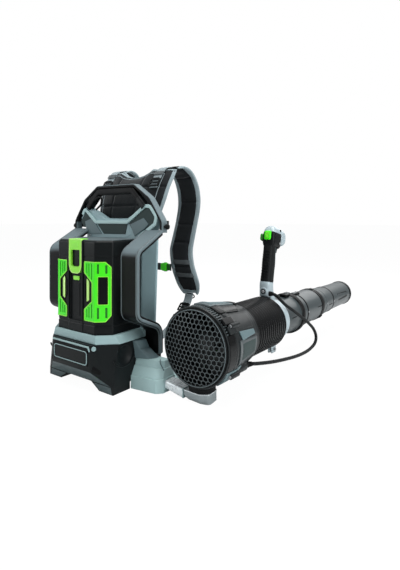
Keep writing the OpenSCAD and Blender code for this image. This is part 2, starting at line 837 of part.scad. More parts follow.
module fan_housing() {
  color([0.2, 0.21, 0.22]) difference() {
    on_axis() difference() {
      union() {
        spun(concat([[0, guard_y]], housing_outer, [[0, seat_y]]));
        // screw bosses
        for (a = screw_angles) rotate([0, a, 0]) translate([screw_at - 1, 0, 0])
          rod(7, rim_y, rim_y + 40);
        // boss of the cable gland, on the lower right
        translate([65, 20, -65]) rod(13, 0, 28);
      }
      // bell mouth, duct and neck
      spun([[0, guard_y - 1], [guard_r + fit_gap, guard_y - 1], [guard_r + fit_gap, rim_y + 2],
            [duct_r, impeller_y - 4], [duct_r, 70], [68, seat_y + 1], [0, seat_y + 1]]);
      // screw holes
      for (a = screw_angles) rotate([0, a, 0]) translate([screw_at, 0, 0])
        rod(screw_r + run_gap, rim_y - 1, rim_y + screw_l + 2);
      // seats of the covers
      ridge_solid(fit_gap, 300);
      badge_solid(fit_gap, 300);
    }
    gland_body(run_gap);
  }
}

// Flat-topped light cover along the crown of the housing
module ridge_solid(g, top) {
  slab_z([[-22 - g, rim_y + 6 - g], [22 + g, rim_y + 6 - g], [16 + g, seat_y - 4 + g],
          [-16 - g, seat_y - 4 + g]], neck_r - 1 - g, top);
}

module housing_ridge() {
  color([0.68, 0.72, 0.73]) on_axis() intersection() {
    ridge_solid(0, 300);
    slab_x([[rim_y, 60], [rim_y + 6, housing_r - 1], [rim_y + 36, housing_r + 1], [seat_y, neck_r + 6],
            [seat_y, 60]], -30, 30);
  }
}

// Bare badge on the outer side of the housing
module badge_solid(g, reach) {
  slab_x([[-12 - g, -34 - g], [70 + g, -34 - g], [70 + g, 18 + g], [-12 - g, 18 + g]],
         neck_r - 1 - g, reach);
}

module side_panel() {
  color([0.55, 0.58, 0.6]) on_axis() intersection() {
    badge_solid(0, 300);
    slab_z([[60, -20], [housing_r - 4, -20], [neck_r + 5, 80], [60, 80]], -60, 60);
  }
}

module intake_guard() {
  r = guard_r;
  sphere_r = (r * r + dome_h * dome_h) / (2 * dome_h);
  cells = floor(r / cell_pitch / 0.866);
  color([0.12, 0.12, 0.13]) on_axis() difference() {
    union() {
      // rim that seats in the housing
      ring(r, r - 7, guard_y - 4, rim_y);
      // domed face
      intersection() {
        translate([0, guard_y - dome_h + sphere_r, 0]) difference() {
          sphere(r = sphere_r, $fn = 96);
          sphere(r = sphere_r - 3, $fn = 96);
        }
        rod(r - 1, guard_y - dome_h - 5, guard_y + 2);
      }
    }
    for (i = [-cells : cells], j = [-cells : cells])
      let (x = (i + (j % 2) / 2) * cell_pitch, z = j * cell_pitch * 0.866)
      if (norm([x, z]) < r - 7 - cell_pitch * 0.45)
        translate([x, guard_y - dome_h - 5, z]) rotate([-90, 0, 0])
          cylinder(h = dome_h + 12, r = (cell_pitch - cell_rib) / 2 / 0.866, $fn = 6);
  }
}

module stator() {
  color([0.25, 0.26, 0.27]) on_axis() {
    ring(hub_r, motor_r + run_gap, stator_y, stator_y + stator_l);
    for (i = [0 : vanes - 1]) rotate([0, i * 360 / vanes, 0])
      block([hub_r - 1, duct_r - run_gap], [stator_y + 8, stator_y + 44], [-1.5, 1.5]);
  }
}

module fan_motor() {
  color([0.6, 0.6, 0.62]) on_axis() difference() {
    rod(motor_r, stator_y + 2, stator_y + stator_l - 4);
    rod(bearing_r + run_gap, stator_y, stator_y + stator_l);
  }
}

module fan_bearings() {
  color("silver") on_axis() for (y = [stator_y + 2, stator_y + stator_l - 4 - bearing_w])
    ring(bearing_r, shaft_r + run_gap, y, y + bearing_w);
}

module tail_cone() {
  y0 = stator_y + stator_l + run_gap;
  color([0.2, 0.2, 0.21]) on_axis() spun([[0, y0], [hub_r, y0], [hub_r - 3, y0 + 12], [10, y0 + 40],
                                          [0, y0 + 42]]);
}

module rotor_shaft() {
  color("silver") on_axis() rod(shaft_r, impeller_y - 4, stator_y + stator_l - 5);
}

module impeller() {
  y0 = impeller_y;
  y1 = impeller_y + impeller_l;
  color([0.75, 0.77, 0.78]) on_axis() difference() {
    union() {
      spun([[0, y0 - 16], [14, y0 - 13], [hub_r - 8, y0 - 4], [hub_r, y0 + 6], [hub_r, y1], [0, y1]]);
      intersection() {
        ring(duct_r - 1, hub_r - 2, y0, y1);
        for (i = [0 : blades - 1]) rotate([0, i * 360 / blades, 0])
          translate([hub_r - 4, (y0 + y1) / 2, 0]) rotate([52, 0, 0])
            translate([0, -22, -1.2]) cube([60, 44, 2.4]);
      }
    }
    rod(shaft_r + run_gap, y0 - 10, y1 + 1);
  }
}

// Gland at the start of the cable, grown by g
module gland_body(g) {
  start = cable_route[0];
  dir = unit(cable_route[1] - start);
  translate(start) rotate([asin(dir[2]), 0, -atan2(dir[0], dir[1])])
    rod(gland_r + g, -gland_l - g, g);
}

module cable_gland() {
  color([0.1, 0.1, 0.1]) gland_body(0);
}

module housing_screws() {
  color("silver") on_axis() for (a = screw_angles) rotate([0, a, 0])
    translate([screw_at, 0, 0]) {
      rod(screw_r, rim_y - 1, rim_y + screw_l);
      rod(screw_r + 2, rim_y - 3, rim_y - run_gap);
    }
}

// ---- bellows and tubes ----

function rib_points(n) =
  let (y0 = bellows_y + 6, y1 = bellows_end - 8, p = (y1 - y0) / n, v = bellows_r - rib_h)
  [for (i = [0 : n - 1]) each [[v, y0 + i * p], [v, y0 + i * p + 0.22 * p],
    [bellows_r - 1, y0 + i * p + 0.38 * p], [bellows_r, y0 + i * p + 0.55 * p],
    [bellows_r - 1, y0 + i * p + 0.72 * p], [v, y0 + i * p + 0.88 * p]]];

module bellows() {
  inner = bellows_r - rib_h - 3;
  color([0.3, 0.31, 0.32]) on_axis()
    spun(concat([[inner, bellows_y], [bellows_r, bellows_y], [bellows_r, bellows_y + 5]],
                rib_points(ribs),
                [[bellows_r - rib_h, bellows_end - 6], [bellows_r - 4, bellows_end - 4],
                 [bellows_r - 6, bellows_end + 4], [tube_a_r + fit_gap, bellows_end + 4],
                 [tube_a_r + fit_gap, bellows_end - 12], [inner, bellows_end - 14]]));
}

module swivel_tube() {
  r = tube_a_r;
  color([0.2, 0.21, 0.22]) on_axis() spun([
    [r - tube_wall, bellows_end - 20], [r, bellows_end - 20], [r, flange_y - 4],
    [r + 8, flange_y], [r + 8.5, flange_y + flange_l / 2], [r + 8, flange_y + flange_l],
    [tube_b_r - tube_wall, flange_y + flange_l], [tube_b_r - tube_wall, flange_y + 4],
    [r - tube_wall, flange_y - 4]]);
}

module middle_tube() {
  r = tube_b_r;
  y0 = flange_y + flange_l + fit_gap;
  sr = r - tube_wall - fit_gap;
  color([0.2, 0.21, 0.22]) on_axis() {
    spun([[sr - 2.5, flange_y - 10], [sr, flange_y - 10], [sr, y0], [r, y0], [r, y0 + 38],
          [r + 1.5, y0 + 39], [r + 1.5, y0 + 44], [r, y0 + 45], [r - 1, joint_b - 22], [r + 1, joint_b - 18],
          [r + 1, joint_b], [r - 5, joint_b], [r - 5, joint_b - 30], [sr - 2.5, joint_b - 36]]);
    // bayonet lug
    translate([0, joint_b - 40, 0]) rotate([0, -90, 0]) translate([r - 2, 0, 0])
      block([0, 4], [0, 34], [-6, 6]);
  }
}

module nozzle_tube() {
  sr = tube_b_r - 5 - fit_gap;
  color([0.18, 0.19, 0.2]) on_axis()
    spun([[sr - 2.5, joint_b - 26], [sr, joint_b - 26], [sr, joint_b + 1], [sr - 1.5, joint_b + 3],
          [mouth_r, joint_c - 6], [mouth_r + 1.5, joint_c - 4], [mouth_r + 1.5, joint_c + 2],
          [mouth_r - 1.5, joint_c + 4], [mouth_r - 1, mouth_y - mouth_l - 4],
          [mouth_r + 1, mouth_y - mouth_l], [mouth_r + 1, mouth_y], [mouth_r - 2.5, mouth_y],
          [mouth_r - 4, mouth_y - 20], [mouth_r - 4.5, joint_c], [sr - 4, joint_b + 3]]);
}

module clamp_ring() {
  r0 = tube_a_r + run_gap;
  color([0.72, 0.76, 0.77]) on_axis() difference() {
    union() {
      ring(tube_a_r + clamp_t, r0, clamp_y, clamp_y + clamp_l);
      // ears of the clamp, below
      translate([ear_x, 0, 0])
        block([-ear_half, ear_half], [clamp_y + 8, clamp_y + clamp_l], [-ear_low, -tube_a_r + 2]);
    }
    rod(r0, clamp_y - 1, clamp_y + clamp_l + 1);
    // split between the two ears
    translate([ear_x, 0, 0])
      block([-2, 2], [clamp_y - 1, clamp_y + clamp_l + 1], [-ear_low - 1, -tube_a_r + 14]);
    clamp_bolt_place() cylinder(h = 60, r = bolt_r + run_gap, center = true);
  }
}

module clamp_bolt_place() {
  translate([ear_x, clamp_y + 22, -ear_low + 12]) rotate([0, 90, 0]) children();
}

module clamp_bolt() {
  color("silver") on_axis() clamp_bolt_place() {
    cylinder(h = 2 * ear_half + 6, r = bolt_r, center = true);
    translate([0, 0, -ear_half - 5]) cylinder(h = 5 - run_gap, r = 5.5);
    translate([0, 0, ear_half + run_gap]) cylinder(h = 5, r = 5.5, $fn = 6);
  }
}

// ---- control handle ----

// Frame of the grip: local z runs up the grip from its foot
module on_grip() {
  translate([grip_x, grip_y, grip_z]) rotate([-lean, 0, 0]) children();
}

module oval(w, d, h) {
  r = min(w, d) / 2 - 1;
  linear_extrude(h) round_rect(w, d, r);
}

module handle_base() {
  color([0.68, 0.72, 0.73]) difference() {
    union() {
      hull() {
        on_grip() translate([-grip_w / 2 - 1, -grip_d / 2 - 1, -12 - run_gap])
          cube([grip_w + 2, grip_d + 2, 12]);
        block([grip_x - 17, grip_x + 17], [clamp_y - 12, clamp_y + clamp_l + 8], [192, 214]);
      }
      translate([grip_x, clamp_y - 12, 236]) rotate([90, 0, 0]) cylinder(h = 6, r = 13);
    }
    on_axis() rod(tube_a_r + clamp_t + 2 * run_gap, clamp_y - 60, clamp_y + clamp_l + 60);
    on_axis() rod(bellows_r + 1, bellows_y, bellows_end + 5);
  }
}

module handle_grip() {
  color([0.15, 0.15, 0.16]) on_grip() oval(grip_w, grip_d, grip_l);
}

module handle_head() {
  color([0.22, 0.22, 0.23]) on_grip() difference() {
    translate([-head_w / 2, head_back, grip_l + run_gap]) cube([head_w, head_l, head_h]);
    // sockets of the two buttons and the trigger
    translate([0, head_back - 1, button_h]) rotate([-90, 0, 0])
      cylinder(h = button_l + 4, r = button_r + fit_gap);
    translate([-head_w / 2 - 1, lever_y, button_h - 4]) rotate([0, 90, 0])
      cylinder(h = 11, r = lever_r + fit_gap);
    translate([-trigger_w / 2 - fit_gap, grip_d / 2 - 3, grip_l - 1])
      cube([trigger_w + 2 * fit_gap, 60, 22]);
  }
}

module head_cap() {
  y0 = head_back + head_l + run_gap;
  top = grip_l + head_h + 2 * run_gap;
  color([0.72, 0.76, 0.77]) on_grip() hull() {
    // roof over the head, falling to the nose
    translate([-head_w / 2, head_back + 2, top]) cube([head_w, head_l, 4]);
    translate([-head_w / 2 + 6, head_back + 10, top + 13]) cube([head_w - 12, 34, 3]);
    translate([-head_w / 2, y0 + 2, top]) cube([head_w, 8, 4]);
  }
  color([0.72, 0.76, 0.77]) on_grip() hull() {
    // nose in front of the trigger
    translate([-head_w / 2, y0, grip_l + 16]) cube([head_w, 10, head_h - 16 + 3]);
    translate([-head_w / 2 + 5, y0 + 24, grip_l + 24]) cube([head_w - 10, 8, 16]);
  }
}

module trigger() {
  y = grip_d / 2;
  color([0.12, 0.12, 0.12]) on_grip() {
    translate([0, y + 10, grip_l + 12]) rotate([0, 90, 0]) cylinder(h = trigger_w, r = 6, center = true);
    slab_x([[y + 5, grip_l + 14], [y + 17, grip_l + 12], [y + 20, grip_l - 6], [y + 14, grip_l - 22],
            [y + 9, grip_l - 21], [y + 12, grip_l - 4]], -trigger_w / 2, trigger_w / 2);
  }
}

module turbo_button() {
  color([0.4, 0.85, 0.1]) on_grip() translate([0, head_back - button_travel - 1, button_h])
    rotate([-90, 0, 0]) cylinder(h = button_l, r = button_r);
}

module cruise_lever() {
  color([0.4, 0.85, 0.1]) on_grip() translate([-head_w / 2 - lever_proud, lever_y, button_h - 4]) {
    rotate([0, 90, 0]) cylinder(h = 13, r = lever_r);
    // thumb tab
    block([0, lever_proud - 2 * fit_gap], [-lever_r - 12, 0], [-6, 6]);
  }
}

module control_cable() {
  color([0.08, 0.08, 0.08])
    skin([for (i = [0 : len(cable_route) - 1]) route_ring(cable_route, i, cable_r, 10)]);
}

base_housing();
base_bottom_cover();
nameplate();
trim_bar();
battery_ledge();
dock_terminals();
controller_board();
back_panel();
side_frame_left();
side_frame_right();
frame_liners();
carry_handle();
handle_frame();
back_pad();
harness_yoke();
shoulder_strap_left();
shoulder_strap_right();
load_lifters();
strap_buckles();
lower_webbings();
chest_strap();
chest_buckle();
base_bracket();
swivel_arm();
pivot_pin();
shoulder_knobs();
battery_case();
battery_panels();
battery_handle();
battery_gauge();
battery_cells();
battery_terminals();
battery_latch_button();
fan_housing();
intake_guard();
housing_ridge();
side_panel();
stator();
fan_motor();
tail_cone();
fan_bearings();
pivot_boot();
cable_gland();
housing_screws();
impeller();
rotor_shaft();
bellows();
clamp_ring();
swivel_tube();
middle_tube();
nozzle_tube();
handle_base();
handle_grip();
handle_head();
head_cap();
trigger();
turbo_button();
cruise_lever();
clamp_bolt();
control_cable();
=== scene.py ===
"""Looks of a backpack leaf blower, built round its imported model.

Shapes are drawn in millimetres in the model's own frame, and MM turns them into metres.
"""

import json
import math
from itertools import accumulate

import bmesh
import bpy
from mathutils import Matrix, Vector
from mathutils.kdtree import KDTree

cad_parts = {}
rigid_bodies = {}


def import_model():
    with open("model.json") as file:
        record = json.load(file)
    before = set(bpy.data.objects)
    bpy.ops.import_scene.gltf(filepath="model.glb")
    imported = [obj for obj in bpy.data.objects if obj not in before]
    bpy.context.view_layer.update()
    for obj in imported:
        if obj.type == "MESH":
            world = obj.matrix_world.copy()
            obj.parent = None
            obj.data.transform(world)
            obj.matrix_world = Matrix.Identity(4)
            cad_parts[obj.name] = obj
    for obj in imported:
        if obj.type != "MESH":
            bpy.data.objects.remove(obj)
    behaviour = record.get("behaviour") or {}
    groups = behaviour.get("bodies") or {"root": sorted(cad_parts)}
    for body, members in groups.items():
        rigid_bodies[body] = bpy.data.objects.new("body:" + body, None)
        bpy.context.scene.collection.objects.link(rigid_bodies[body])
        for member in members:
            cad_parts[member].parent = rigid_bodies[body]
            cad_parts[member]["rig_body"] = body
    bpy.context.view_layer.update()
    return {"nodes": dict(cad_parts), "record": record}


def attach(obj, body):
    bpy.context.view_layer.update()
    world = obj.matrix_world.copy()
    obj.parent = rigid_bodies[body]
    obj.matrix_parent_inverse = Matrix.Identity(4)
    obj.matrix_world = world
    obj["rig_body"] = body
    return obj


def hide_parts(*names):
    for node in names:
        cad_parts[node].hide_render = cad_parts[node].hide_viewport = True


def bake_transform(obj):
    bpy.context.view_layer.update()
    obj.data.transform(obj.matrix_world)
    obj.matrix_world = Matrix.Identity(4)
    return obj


MM = 0.001
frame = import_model()
NODES = frame["nodes"]
NODE_SLOTS = {part["node"]: part["material_slot"] for part in frame["record"]["subparts"]}


def shift(x, y, z):
    return Matrix.Translation((x, y, z))


def turn(degrees, axis):
    return Matrix.Rotation(math.radians(degrees), 4, axis)


def add_object(name, data):
    made = bpy.data.objects.new(name, data)
    bpy.context.scene.collection.objects.link(made)
    return made


# ---- camera ----

IMAGE_LONG_SIDE = 570
FOCAL_PX = 430
HORIZON_ABOVE_MIDDLE_PX = 67
CAMERA_AT = (0.999, -0.946, 0.470)
CAMERA_TURN = 36.5


def make_camera():
    data = bpy.data.cameras.new("camera")
    data.sensor_width = 36
    data.lens = data.sensor_width * FOCAL_PX / IMAGE_LONG_SIDE
    data.shift_y = -HORIZON_ABOVE_MIDDLE_PX / IMAGE_LONG_SIDE
    camera = add_object("camera", data)
    camera.location = CAMERA_AT
    camera.rotation_euler = (math.radians(90), 0, math.radians(CAMERA_TURN))
    bpy.context.scene.camera = camera
    bpy.context.scene.view_settings.view_transform = "Standard"


# ---- frames of the sloping fan axis and of the leaning grip ----

FAN_X, FAN_Y, FAN_Z, SLOPE = 346, -84, 144, 0.7
AXIS = shift(FAN_X, FAN_Y, FAN_Z) @ turn(-SLOPE, "X") @ shift(0, -FAN_Y, 0)
LEAN = 11.5
GRIP = shift(FAN_X, 299, 264) @ turn(-LEAN, "X")
WORLD = Matrix.Identity(4)
MIRROR = Matrix.Scale(-1, 4, (1, 0, 0))
ALONG_X, ALONG_Y = (1, 0, 0), (0, 1, 0)

# ---- materials ----

# specular level of a colour, by its brightest channel
DARK_BELOW, DARK_GLOSS, PALE_GLOSS = 60, 0.14, 0.4
WAVE_SCALE = 2 * math.pi / 20
METALLIC = 0.3


def linear(red, green, blue):
    """A colour given as 0-255 screen values, as the shader's linear one."""
    parts = [c / 255 for c in (red, green, blue)]
    parts = [c / 12.92 if c <= 0.04045 else ((c + 0.055) / 1.055) ** 2.4 for c in parts]
    return (*parts, 1)


def add_node(tree, kind, inputs, **settings):
    """New shader node; each input is a value, or a socket to link."""
    node = tree.nodes.new("ShaderNode" + kind)
    for name, value in settings.items():
        setattr(node, name, value)
    feed(tree, node, inputs)
    return node


def feed(tree, node, inputs):
    for name, value in inputs.items():
        if isinstance(value, bpy.types.NodeSocket):
            tree.links.new(value, node.inputs[name])
        else:
            node.inputs[name].default_value = value


class Shader:
    """A Principled material with helpers that add its procedural detail."""

    def __init__(self, name, color, roughness, metallic=0.0, coat=0.0, sheen=0.0):
        self.material = bpy.data.materials.new(name)
        self.material.use_nodes = True
        self.tree = self.material.node_tree
        self.color, self.roughness = linear(*color), roughness
        self.set({
            "Base Color": self.color, "Roughness": roughness, "Metallic": metallic,
            "Coat Weight": coat, "Coat Roughness": 0.15,
            "Specular IOR Level": PALE_GLOSS if max(color) > DARK_BELOW else DARK_GLOSS,
            "Sheen Weight": sheen, "Sheen Roughness": 0.4,
        })
        self.where = self.add("TexCoord", "Object", {})
        self.height = None

    def set(self, inputs):
        feed(self.tree, self.tree.nodes["Principled BSDF"], inputs)

    def add(self, kind, result, inputs, **settings):
        return add_node(self.tree, kind, inputs, **settings).outputs[result]

    def noise(self, size_mm, detail):
        scale = 1 / (size_mm * MM)
        return self.add("TexNoise", "Fac", {"Scale": scale, "Detail": detail, "Vector": self.where})

    def bands(self, size_mm, axis):
        inputs = {"Scale": WAVE_SCALE / (size_mm * MM), "Vector": self.where}
        return self.add("TexWave", "Fac", inputs, bands_direction=axis)

    def math(self, operation, a, b):
        return self.add("Math", 0, {0: a, 1: b}, operation=operation)

    def mottle(self, fac, amount, tint=None):
        """Varies the colour between darker and lighter, or towards a tint, by fac."""
        shades = (1 - amount, 1 + amount)
        low, high = ((*(min(1, c * k) for c in self.color[:3]), 1) for k in shades)
        inputs = {"A": low, "B": linear(*tint) if tint else high, "Factor": fac}
        self.set({"Base Color": self.add("Mix", "Result", inputs, data_type="RGBA")})

    def vary_roughness(self, fac, amount):
        low, high = max(0.02, self.roughness - amount), min(1, self.roughness + amount)
        inputs = {"To Min": low, "To Max": high, "Value": fac}
        self.set({"Roughness": self.add("MapRange", "Result", inputs)})

    def bump(self, fac, depth_mm, strength=1.0):
        inputs = {"Strength": strength, "Distance": depth_mm * MM, "Height": fac}
        if self.height:
            inputs["Normal"] = self.height
        self.height = self.add("Bump", "Normal", inputs)
        self.set({"Normal": self.height})


# noises of a finish, each as (size in mm, detail, amount): colour, roughness, bump
PLASTIC = (60, 4, 0.05), (25, 5, 0.06), (0.9, 2, 0.03)
METAL = (30, 4, 0.05), (8, 5, 0.08), (0.5, 2, 0.004)
RUBBER = (18, 4, 0.12), (10, 4, 0.08), (1.4, 3, 0.05)


def grained(s, gloss, grain, depth=None):
    s.vary_roughness(s.noise(*gloss[:2]), gloss[2])
    s.bump(s.noise(*grain[:2]), depth or grain[2])
    return s.material


def surface(finish, name, color, roughness, coat=0.0, depth=None):
    """Moulded, cast or rubbery surface, with a fine grain and faint wide changes of tone."""
    tone, gloss, grain = finish
    s = Shader(name, color, roughness, METALLIC if finish is METAL else 0.0, coat)
    s.mottle(s.noise(*tone[:2]), tone[2])
    return grained(s, gloss, grain, depth)


def painted_top_light(name, color, top_light_color, roughness):
    """Dark plastic with a painted highlight: faces turned up and outwards are painted lighter, by
    their normals, in place of the top light.
    """
    s = Shader(name, color, roughness)
    parts = add_node(s.tree, "SeparateXYZ", {0: s.add("TexCoord", "Normal", {})}).outputs
    outward = s.math("MULTIPLY", s.math("ABSOLUTE", parts["X"], 0.0), 0.55)
    spread = {"From Min": 0.12, "From Max": 0.5, "Value": s.math("ADD", parts["Z"], outward)}
    s.mottle(s.add("MapRange", "Result", spread), 0.0, top_light_color)
    return grained(s, *PLASTIC[1:])


def webbing(name, color):
    """Woven strap: ribs across, with a fine crossing thread."""
    s = Shader(name, color, 0.75, sheen=0.2)
    weave = s.math("ADD", s.bands(2.2, "Z"), s.math("MULTIPLY", s.bands(1.1, "X"), 0.5))
    s.mottle(s.math("MULTIPLY", weave, 0.6), 0.22)
    s.bump(weave, 0.35)
    s.bump(s.noise(0.5, 2), 0.08)
    return s.material


def cloth(name, color, cell_mm=2.6):
    """Padded mesh cloth: small round cells over a soft base."""
    s = Shader(name, color, 0.85, sheen=0.25)
    cells = s.add("TexVoronoi", "Distance", {"Scale": 1 / (cell_mm * MM), "Vector": s.where})
    worn = s.math("MULTIPLY", s.noise(40, 4), 0.4)
    s.mottle(s.math("ADD", s.math("MULTIPLY", cells, 0.7), worn), 0.3)
    s.bump(cells, 0.3)
    s.bump(s.noise(9, 3), 0.5, 0.6)
    return s.material


MATERIALS = {
    # frame rails and arch: dark plastic with a painted highlight, lighter on faces turned up and
    # outwards
    "painted_top_light": painted_top_light("rail_two_tone", (6, 7, 8), (104, 117, 121), 0.42),
    "webbing": webbing("webbing_grey", (136, 148, 152)),
    "dark_webbing": webbing("webbing_dark", (70, 76, 78)),
    "pad": cloth("padded_cloth", (25, 28, 30)),
    "binding": cloth("edge_binding", (128, 142, 146), 1.6),
}
for key, *row in (
    ("base", PLASTIC, "moulded_base", (19, 23, 24), 0.42, 0.0, 0.04),
    ("dark", PLASTIC, "moulded_dark", (14, 17, 18), 0.4),
    ("black", PLASTIC, "moulded_black", (5, 6, 7), 0.5),
    ("case", PLASTIC, "battery_shell", (16, 19, 20), 0.38),
    ("grey", PLASTIC, "moulded_grey", (142, 169, 174), 0.4),
    ("deep_grey", PLASTIC, "moulded_deep_grey", (88, 108, 112), 0.45),
    ("light", PLASTIC, "moulded_light", (148, 174, 175), 0.38),
    ("pale", PLASTIC, "moulded_pale", (166, 180, 185), 0.3, 0.2),
    # grey that paints highlights on the frame's beads, the guard's hoop and the housing's ridge;
    # also the battery's lid
    ("rail", PLASTIC, "rail_grey", (84, 95, 98), 0.4),
    ("green", PLASTIC, "green_cover", (66, 238, 12), 0.35, 0.15),
    ("lime", PLASTIC, "green_handle", (150, 240, 70), 0.35, 0.15),
    ("glow", PLASTIC, "gauge_lens", (196, 246, 130), 0.2, 0.4),
    ("housing", PLASTIC, "fan_shell", (24, 28, 29), 0.38, 0.15),
    ("tube", PLASTIC, "tube_shell", (50, 59, 61), 0.32, 0.1),
    ("guard", PLASTIC, "guard_plastic", (17, 19, 20), 0.42),
    ("board", PLASTIC, "circuit_board", (18, 84, 46), 0.4),
    ("cells", PLASTIC, "cell_wrap", (40, 84, 140), 0.35),
    # lighter grey that the grille's front faces take as a painted highlight; also the rim's ribs
    ("guard_face", PLASTIC, "guard_face", (74, 82, 84), 0.4),
    # darker green: painted shade in the wings' slots; also the cruise lever and the buckle's plug
    ("deep_green", PLASTIC, "green_recess", (22, 110, 14), 0.5),
    ("gloss_black", PLASTIC, "bare_label", (6, 7, 8), 0.24, 0.0, 0.005),
    # darkest copy of the panels' grey: painted shade on the crest's facets; also the badge on the
    # housing's side
    ("shade", PLASTIC, "moulded_shade", (46, 60, 59), 0.45),
    ("collar", PLASTIC, "joint_black", (5, 6, 7), 0.34),
    ("slope", PLASTIC, "base_band", (72, 86, 88), 0.45),
    ("bracket", PLASTIC, "moulded_bracket", (170, 198, 198), 0.4),
    ("blade", PLASTIC, "impeller_plastic", (60, 63, 64), 0.35),
    ("silver", METAL, "cast_arm", (228, 234, 236), 0.28),
    ("cast_grey", METAL, "cast_cup", (150, 158, 160), 0.38),
    ("steel", METAL, "screw_steel", (150, 152, 154), 0.3),
    ("rubber", RUBBER, "soft_rubber", (13, 14, 15), 0.62),
    ("grip", RUBBER, "grip_rubber", (19, 21, 22), 0.55),
    ("cable", RUBBER, "cable_sheath", (20, 22, 23), 0.45),
    ("bellows", RUBBER, "bellows_rubber", (10, 11, 12), 0.24),
):
    MATERIALS[key] = surface(*row)

# ---- mesh helpers ----


def bake(obj):
    """Applies the object's modifiers."""
    graph = bpy.context.evaluated_depsgraph_get()
    made = bpy.data.meshes.new_from_object(obj.evaluated_get(graph))
    obj.modifiers.clear()
    obj.data = made
    return obj


def smooth(obj, crease=40):
    """Smooth shading that breaks at edges sharper than crease, in degrees."""
    obj.data.shade_smooth()
    obj.data.set_sharp_from_angle(angle=math.radians(crease))
    obj.modifiers.new("flat faces", "WEIGHTED_NORMAL").keep_sharp = True
    return bake(obj)


def mesh_object(work, material, turn_faces=True):
    """The bmesh as an object, its faces turned outward."""
    if turn_faces:
        bmesh.ops.recalc_face_normals(work, faces=work.faces)
    mesh = bpy.data.meshes.new("part")
    work.to_mesh(mesh)
    work.free()
    mesh.materials.append(MATERIALS[material])
    return add_object("part", mesh)


def rounded(obj, width, segments=3, angle=30):
    """Rounds every edge sharper than the angle, width in millimetres."""
    bevel = obj.modifiers.new("round", "BEVEL")
    bevel.width = width * MM
    bevel.segments = segments
    bevel.limit_method = "ANGLE"
    bevel.angle_limit = math.radians(angle)
    bevel.miter_outer = "MITER_ARC"
    bake(obj)
    return smooth(obj)


def carve(obj, cutter):
    """Cuts the cutter's form out of the object."""
    cut = obj.modifiers.new("cut", "BOOLEAN")
    cut.operation, cut.solver, cut.object = "DIFFERENCE", "EXACT", cutter
    bake(obj)
    bpy.data.objects.remove(cutter)


def joined(*parts):
    """One object made of several, each in its own material."""
    if len(parts) > 1:
        chosen = {"active_object": parts[0], "selected_editable_objects": list(parts)}
        with bpy.context.temp_override(**chosen):
            bpy.ops.object.join()
    return parts[0]


def pair(obj):
    """An object and its twin on the other side of the middle plane."""
    mesh = obj.data.copy()
    mesh.transform(MIRROR)
    mesh.flip_normals()
    return obj, add_object("part", mesh)


def place(name, body, slot, *parts, node=None):
    """Joins the parts into a piece that rides on a body, in place of a node if one is given."""
    piece = joined(*parts)
    piece.name = name
    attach(piece, body)
    if node:
        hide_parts(node)
    return piece


def stand_in(node, *parts):
    """The parts as the piece that replaces a CAD node, on the node's own body."""
    return place(node + ".looks", NODES[node]["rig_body"], NODE_SLOTS[node], *parts, node=node)


def bridge(node, piece):
    """Puts a piece between the blower and the tube in place of a CAD node, its place baked into its
    mesh.
    """
    piece.name = node + ".looks"
    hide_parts(node)
    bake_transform(piece)
    return piece


def dressed(node, material, width):
    """The CAD node's shape with rounded edges."""
    work = bmesh.new()
    work.from_mesh(NODES[node].data)
    bmesh.ops.remove_doubles(work, verts=work.verts, dist=0.02 * MM)
    merge_flat(work, 0.6)
    return rounded(mesh_object(work, material, False), width, angle=28)


def merge_flat(work, degrees):
    bmesh.ops.dissolve_limit(
        work, angle_limit=math.radians(degrees), verts=work.verts, edges=work.edges
    )


# ---- shapes drawn in code, in millimetres ----


def filleted(points, radius, closed=False, steps=6):
    """A path with its corners rounded; radius is one number, or one for each point."""
    points = [Vector(p) for p in points]
    count = len(points)
    radii = radius if isinstance(radius, (list, tuple)) else [radius] * count
    out = []
    for i, corner in enumerate(points):
        if not closed and i in (0, count - 1):
            out.append(corner)
            continue
        back, on = points[i - 1] - corner, points[(i + 1) % count] - corner
        bend = math.pi - back.angle(on)
        cut = min(radii[i] * math.tan(bend / 2), 0.48 * back.length, 0.48 * on.length)
        if cut < 0.02:
            out.append(corner)
            continue
        start, end = corner + back.normalized() * cut, corner + on.normalized() * cut
        for k in range(steps + 1):
            t = k / steps
            out.append((1 - t) ** 2 * start + 2 * t * (1 - t) * corner + t * t * end)
    return out


def both_sides(points):
    """The points, followed by their mirror images in X from last to first."""
    return [*points, *((-x, *rest) for x, *rest in reversed(points))]


def loop(points, radius, steps=6):
    """Closed outline with rounded corners."""
    return filleted(points, radius, True, steps)


def box(a0, a1, b0, b1, radius, steps=4):
    """Rounded rectangle as a closed outline."""
    return loop([(a0, b0), (a1, b0), (a1, b1), (a0, b1)], radius, steps)


def solid(rings, material, matrix=WORLD, closed=False):
    """Skin over equal rings of points, capped at both ends unless it closes on itself."""
    work = bmesh.new()
    made = [[work.verts.new((matrix @ Vector(p)) * MM) for p in ring] for ring in rings]
    count = len(rings[0])
    pairs = list(zip(made, made[1:]))
    if closed:
        pairs.append((made[-1], made[0]))
    for a, b in pairs:
        for j in range(count):
            k = (j + 1) % count
            work.faces.new((a[j], a[k], b[k], b[j]))
    if not closed:
        work.faces.new(made[0][::-1])
        work.faces.new(made[-1])
    bmesh.ops.remove_doubles(work, verts=work.verts, dist=1e-6)
    return mesh_object(work, material)


def prism(outline, axis, low, high, material, matrix=WORLD):
    """Solid of an outline drawn at right angles to an axis, between two places along it."""

    def at(point, depth):
        a, b = point
        return {"X": (depth, a, b), "Y": (a, depth, b), "Z": (a, b, depth)}[axis]

    return solid([[at(p, depth) for p in outline] for depth in (low, high)], material, matrix)


def block(x, y, z, material, matrix=WORLD, round_by=1.0):
    outline = [(x[0], y[0]), (x[1], y[0]), (x[1], y[1]), (x[0], y[1])]
    return rounded(prism(outline, "Z", *z, material, matrix), round_by)


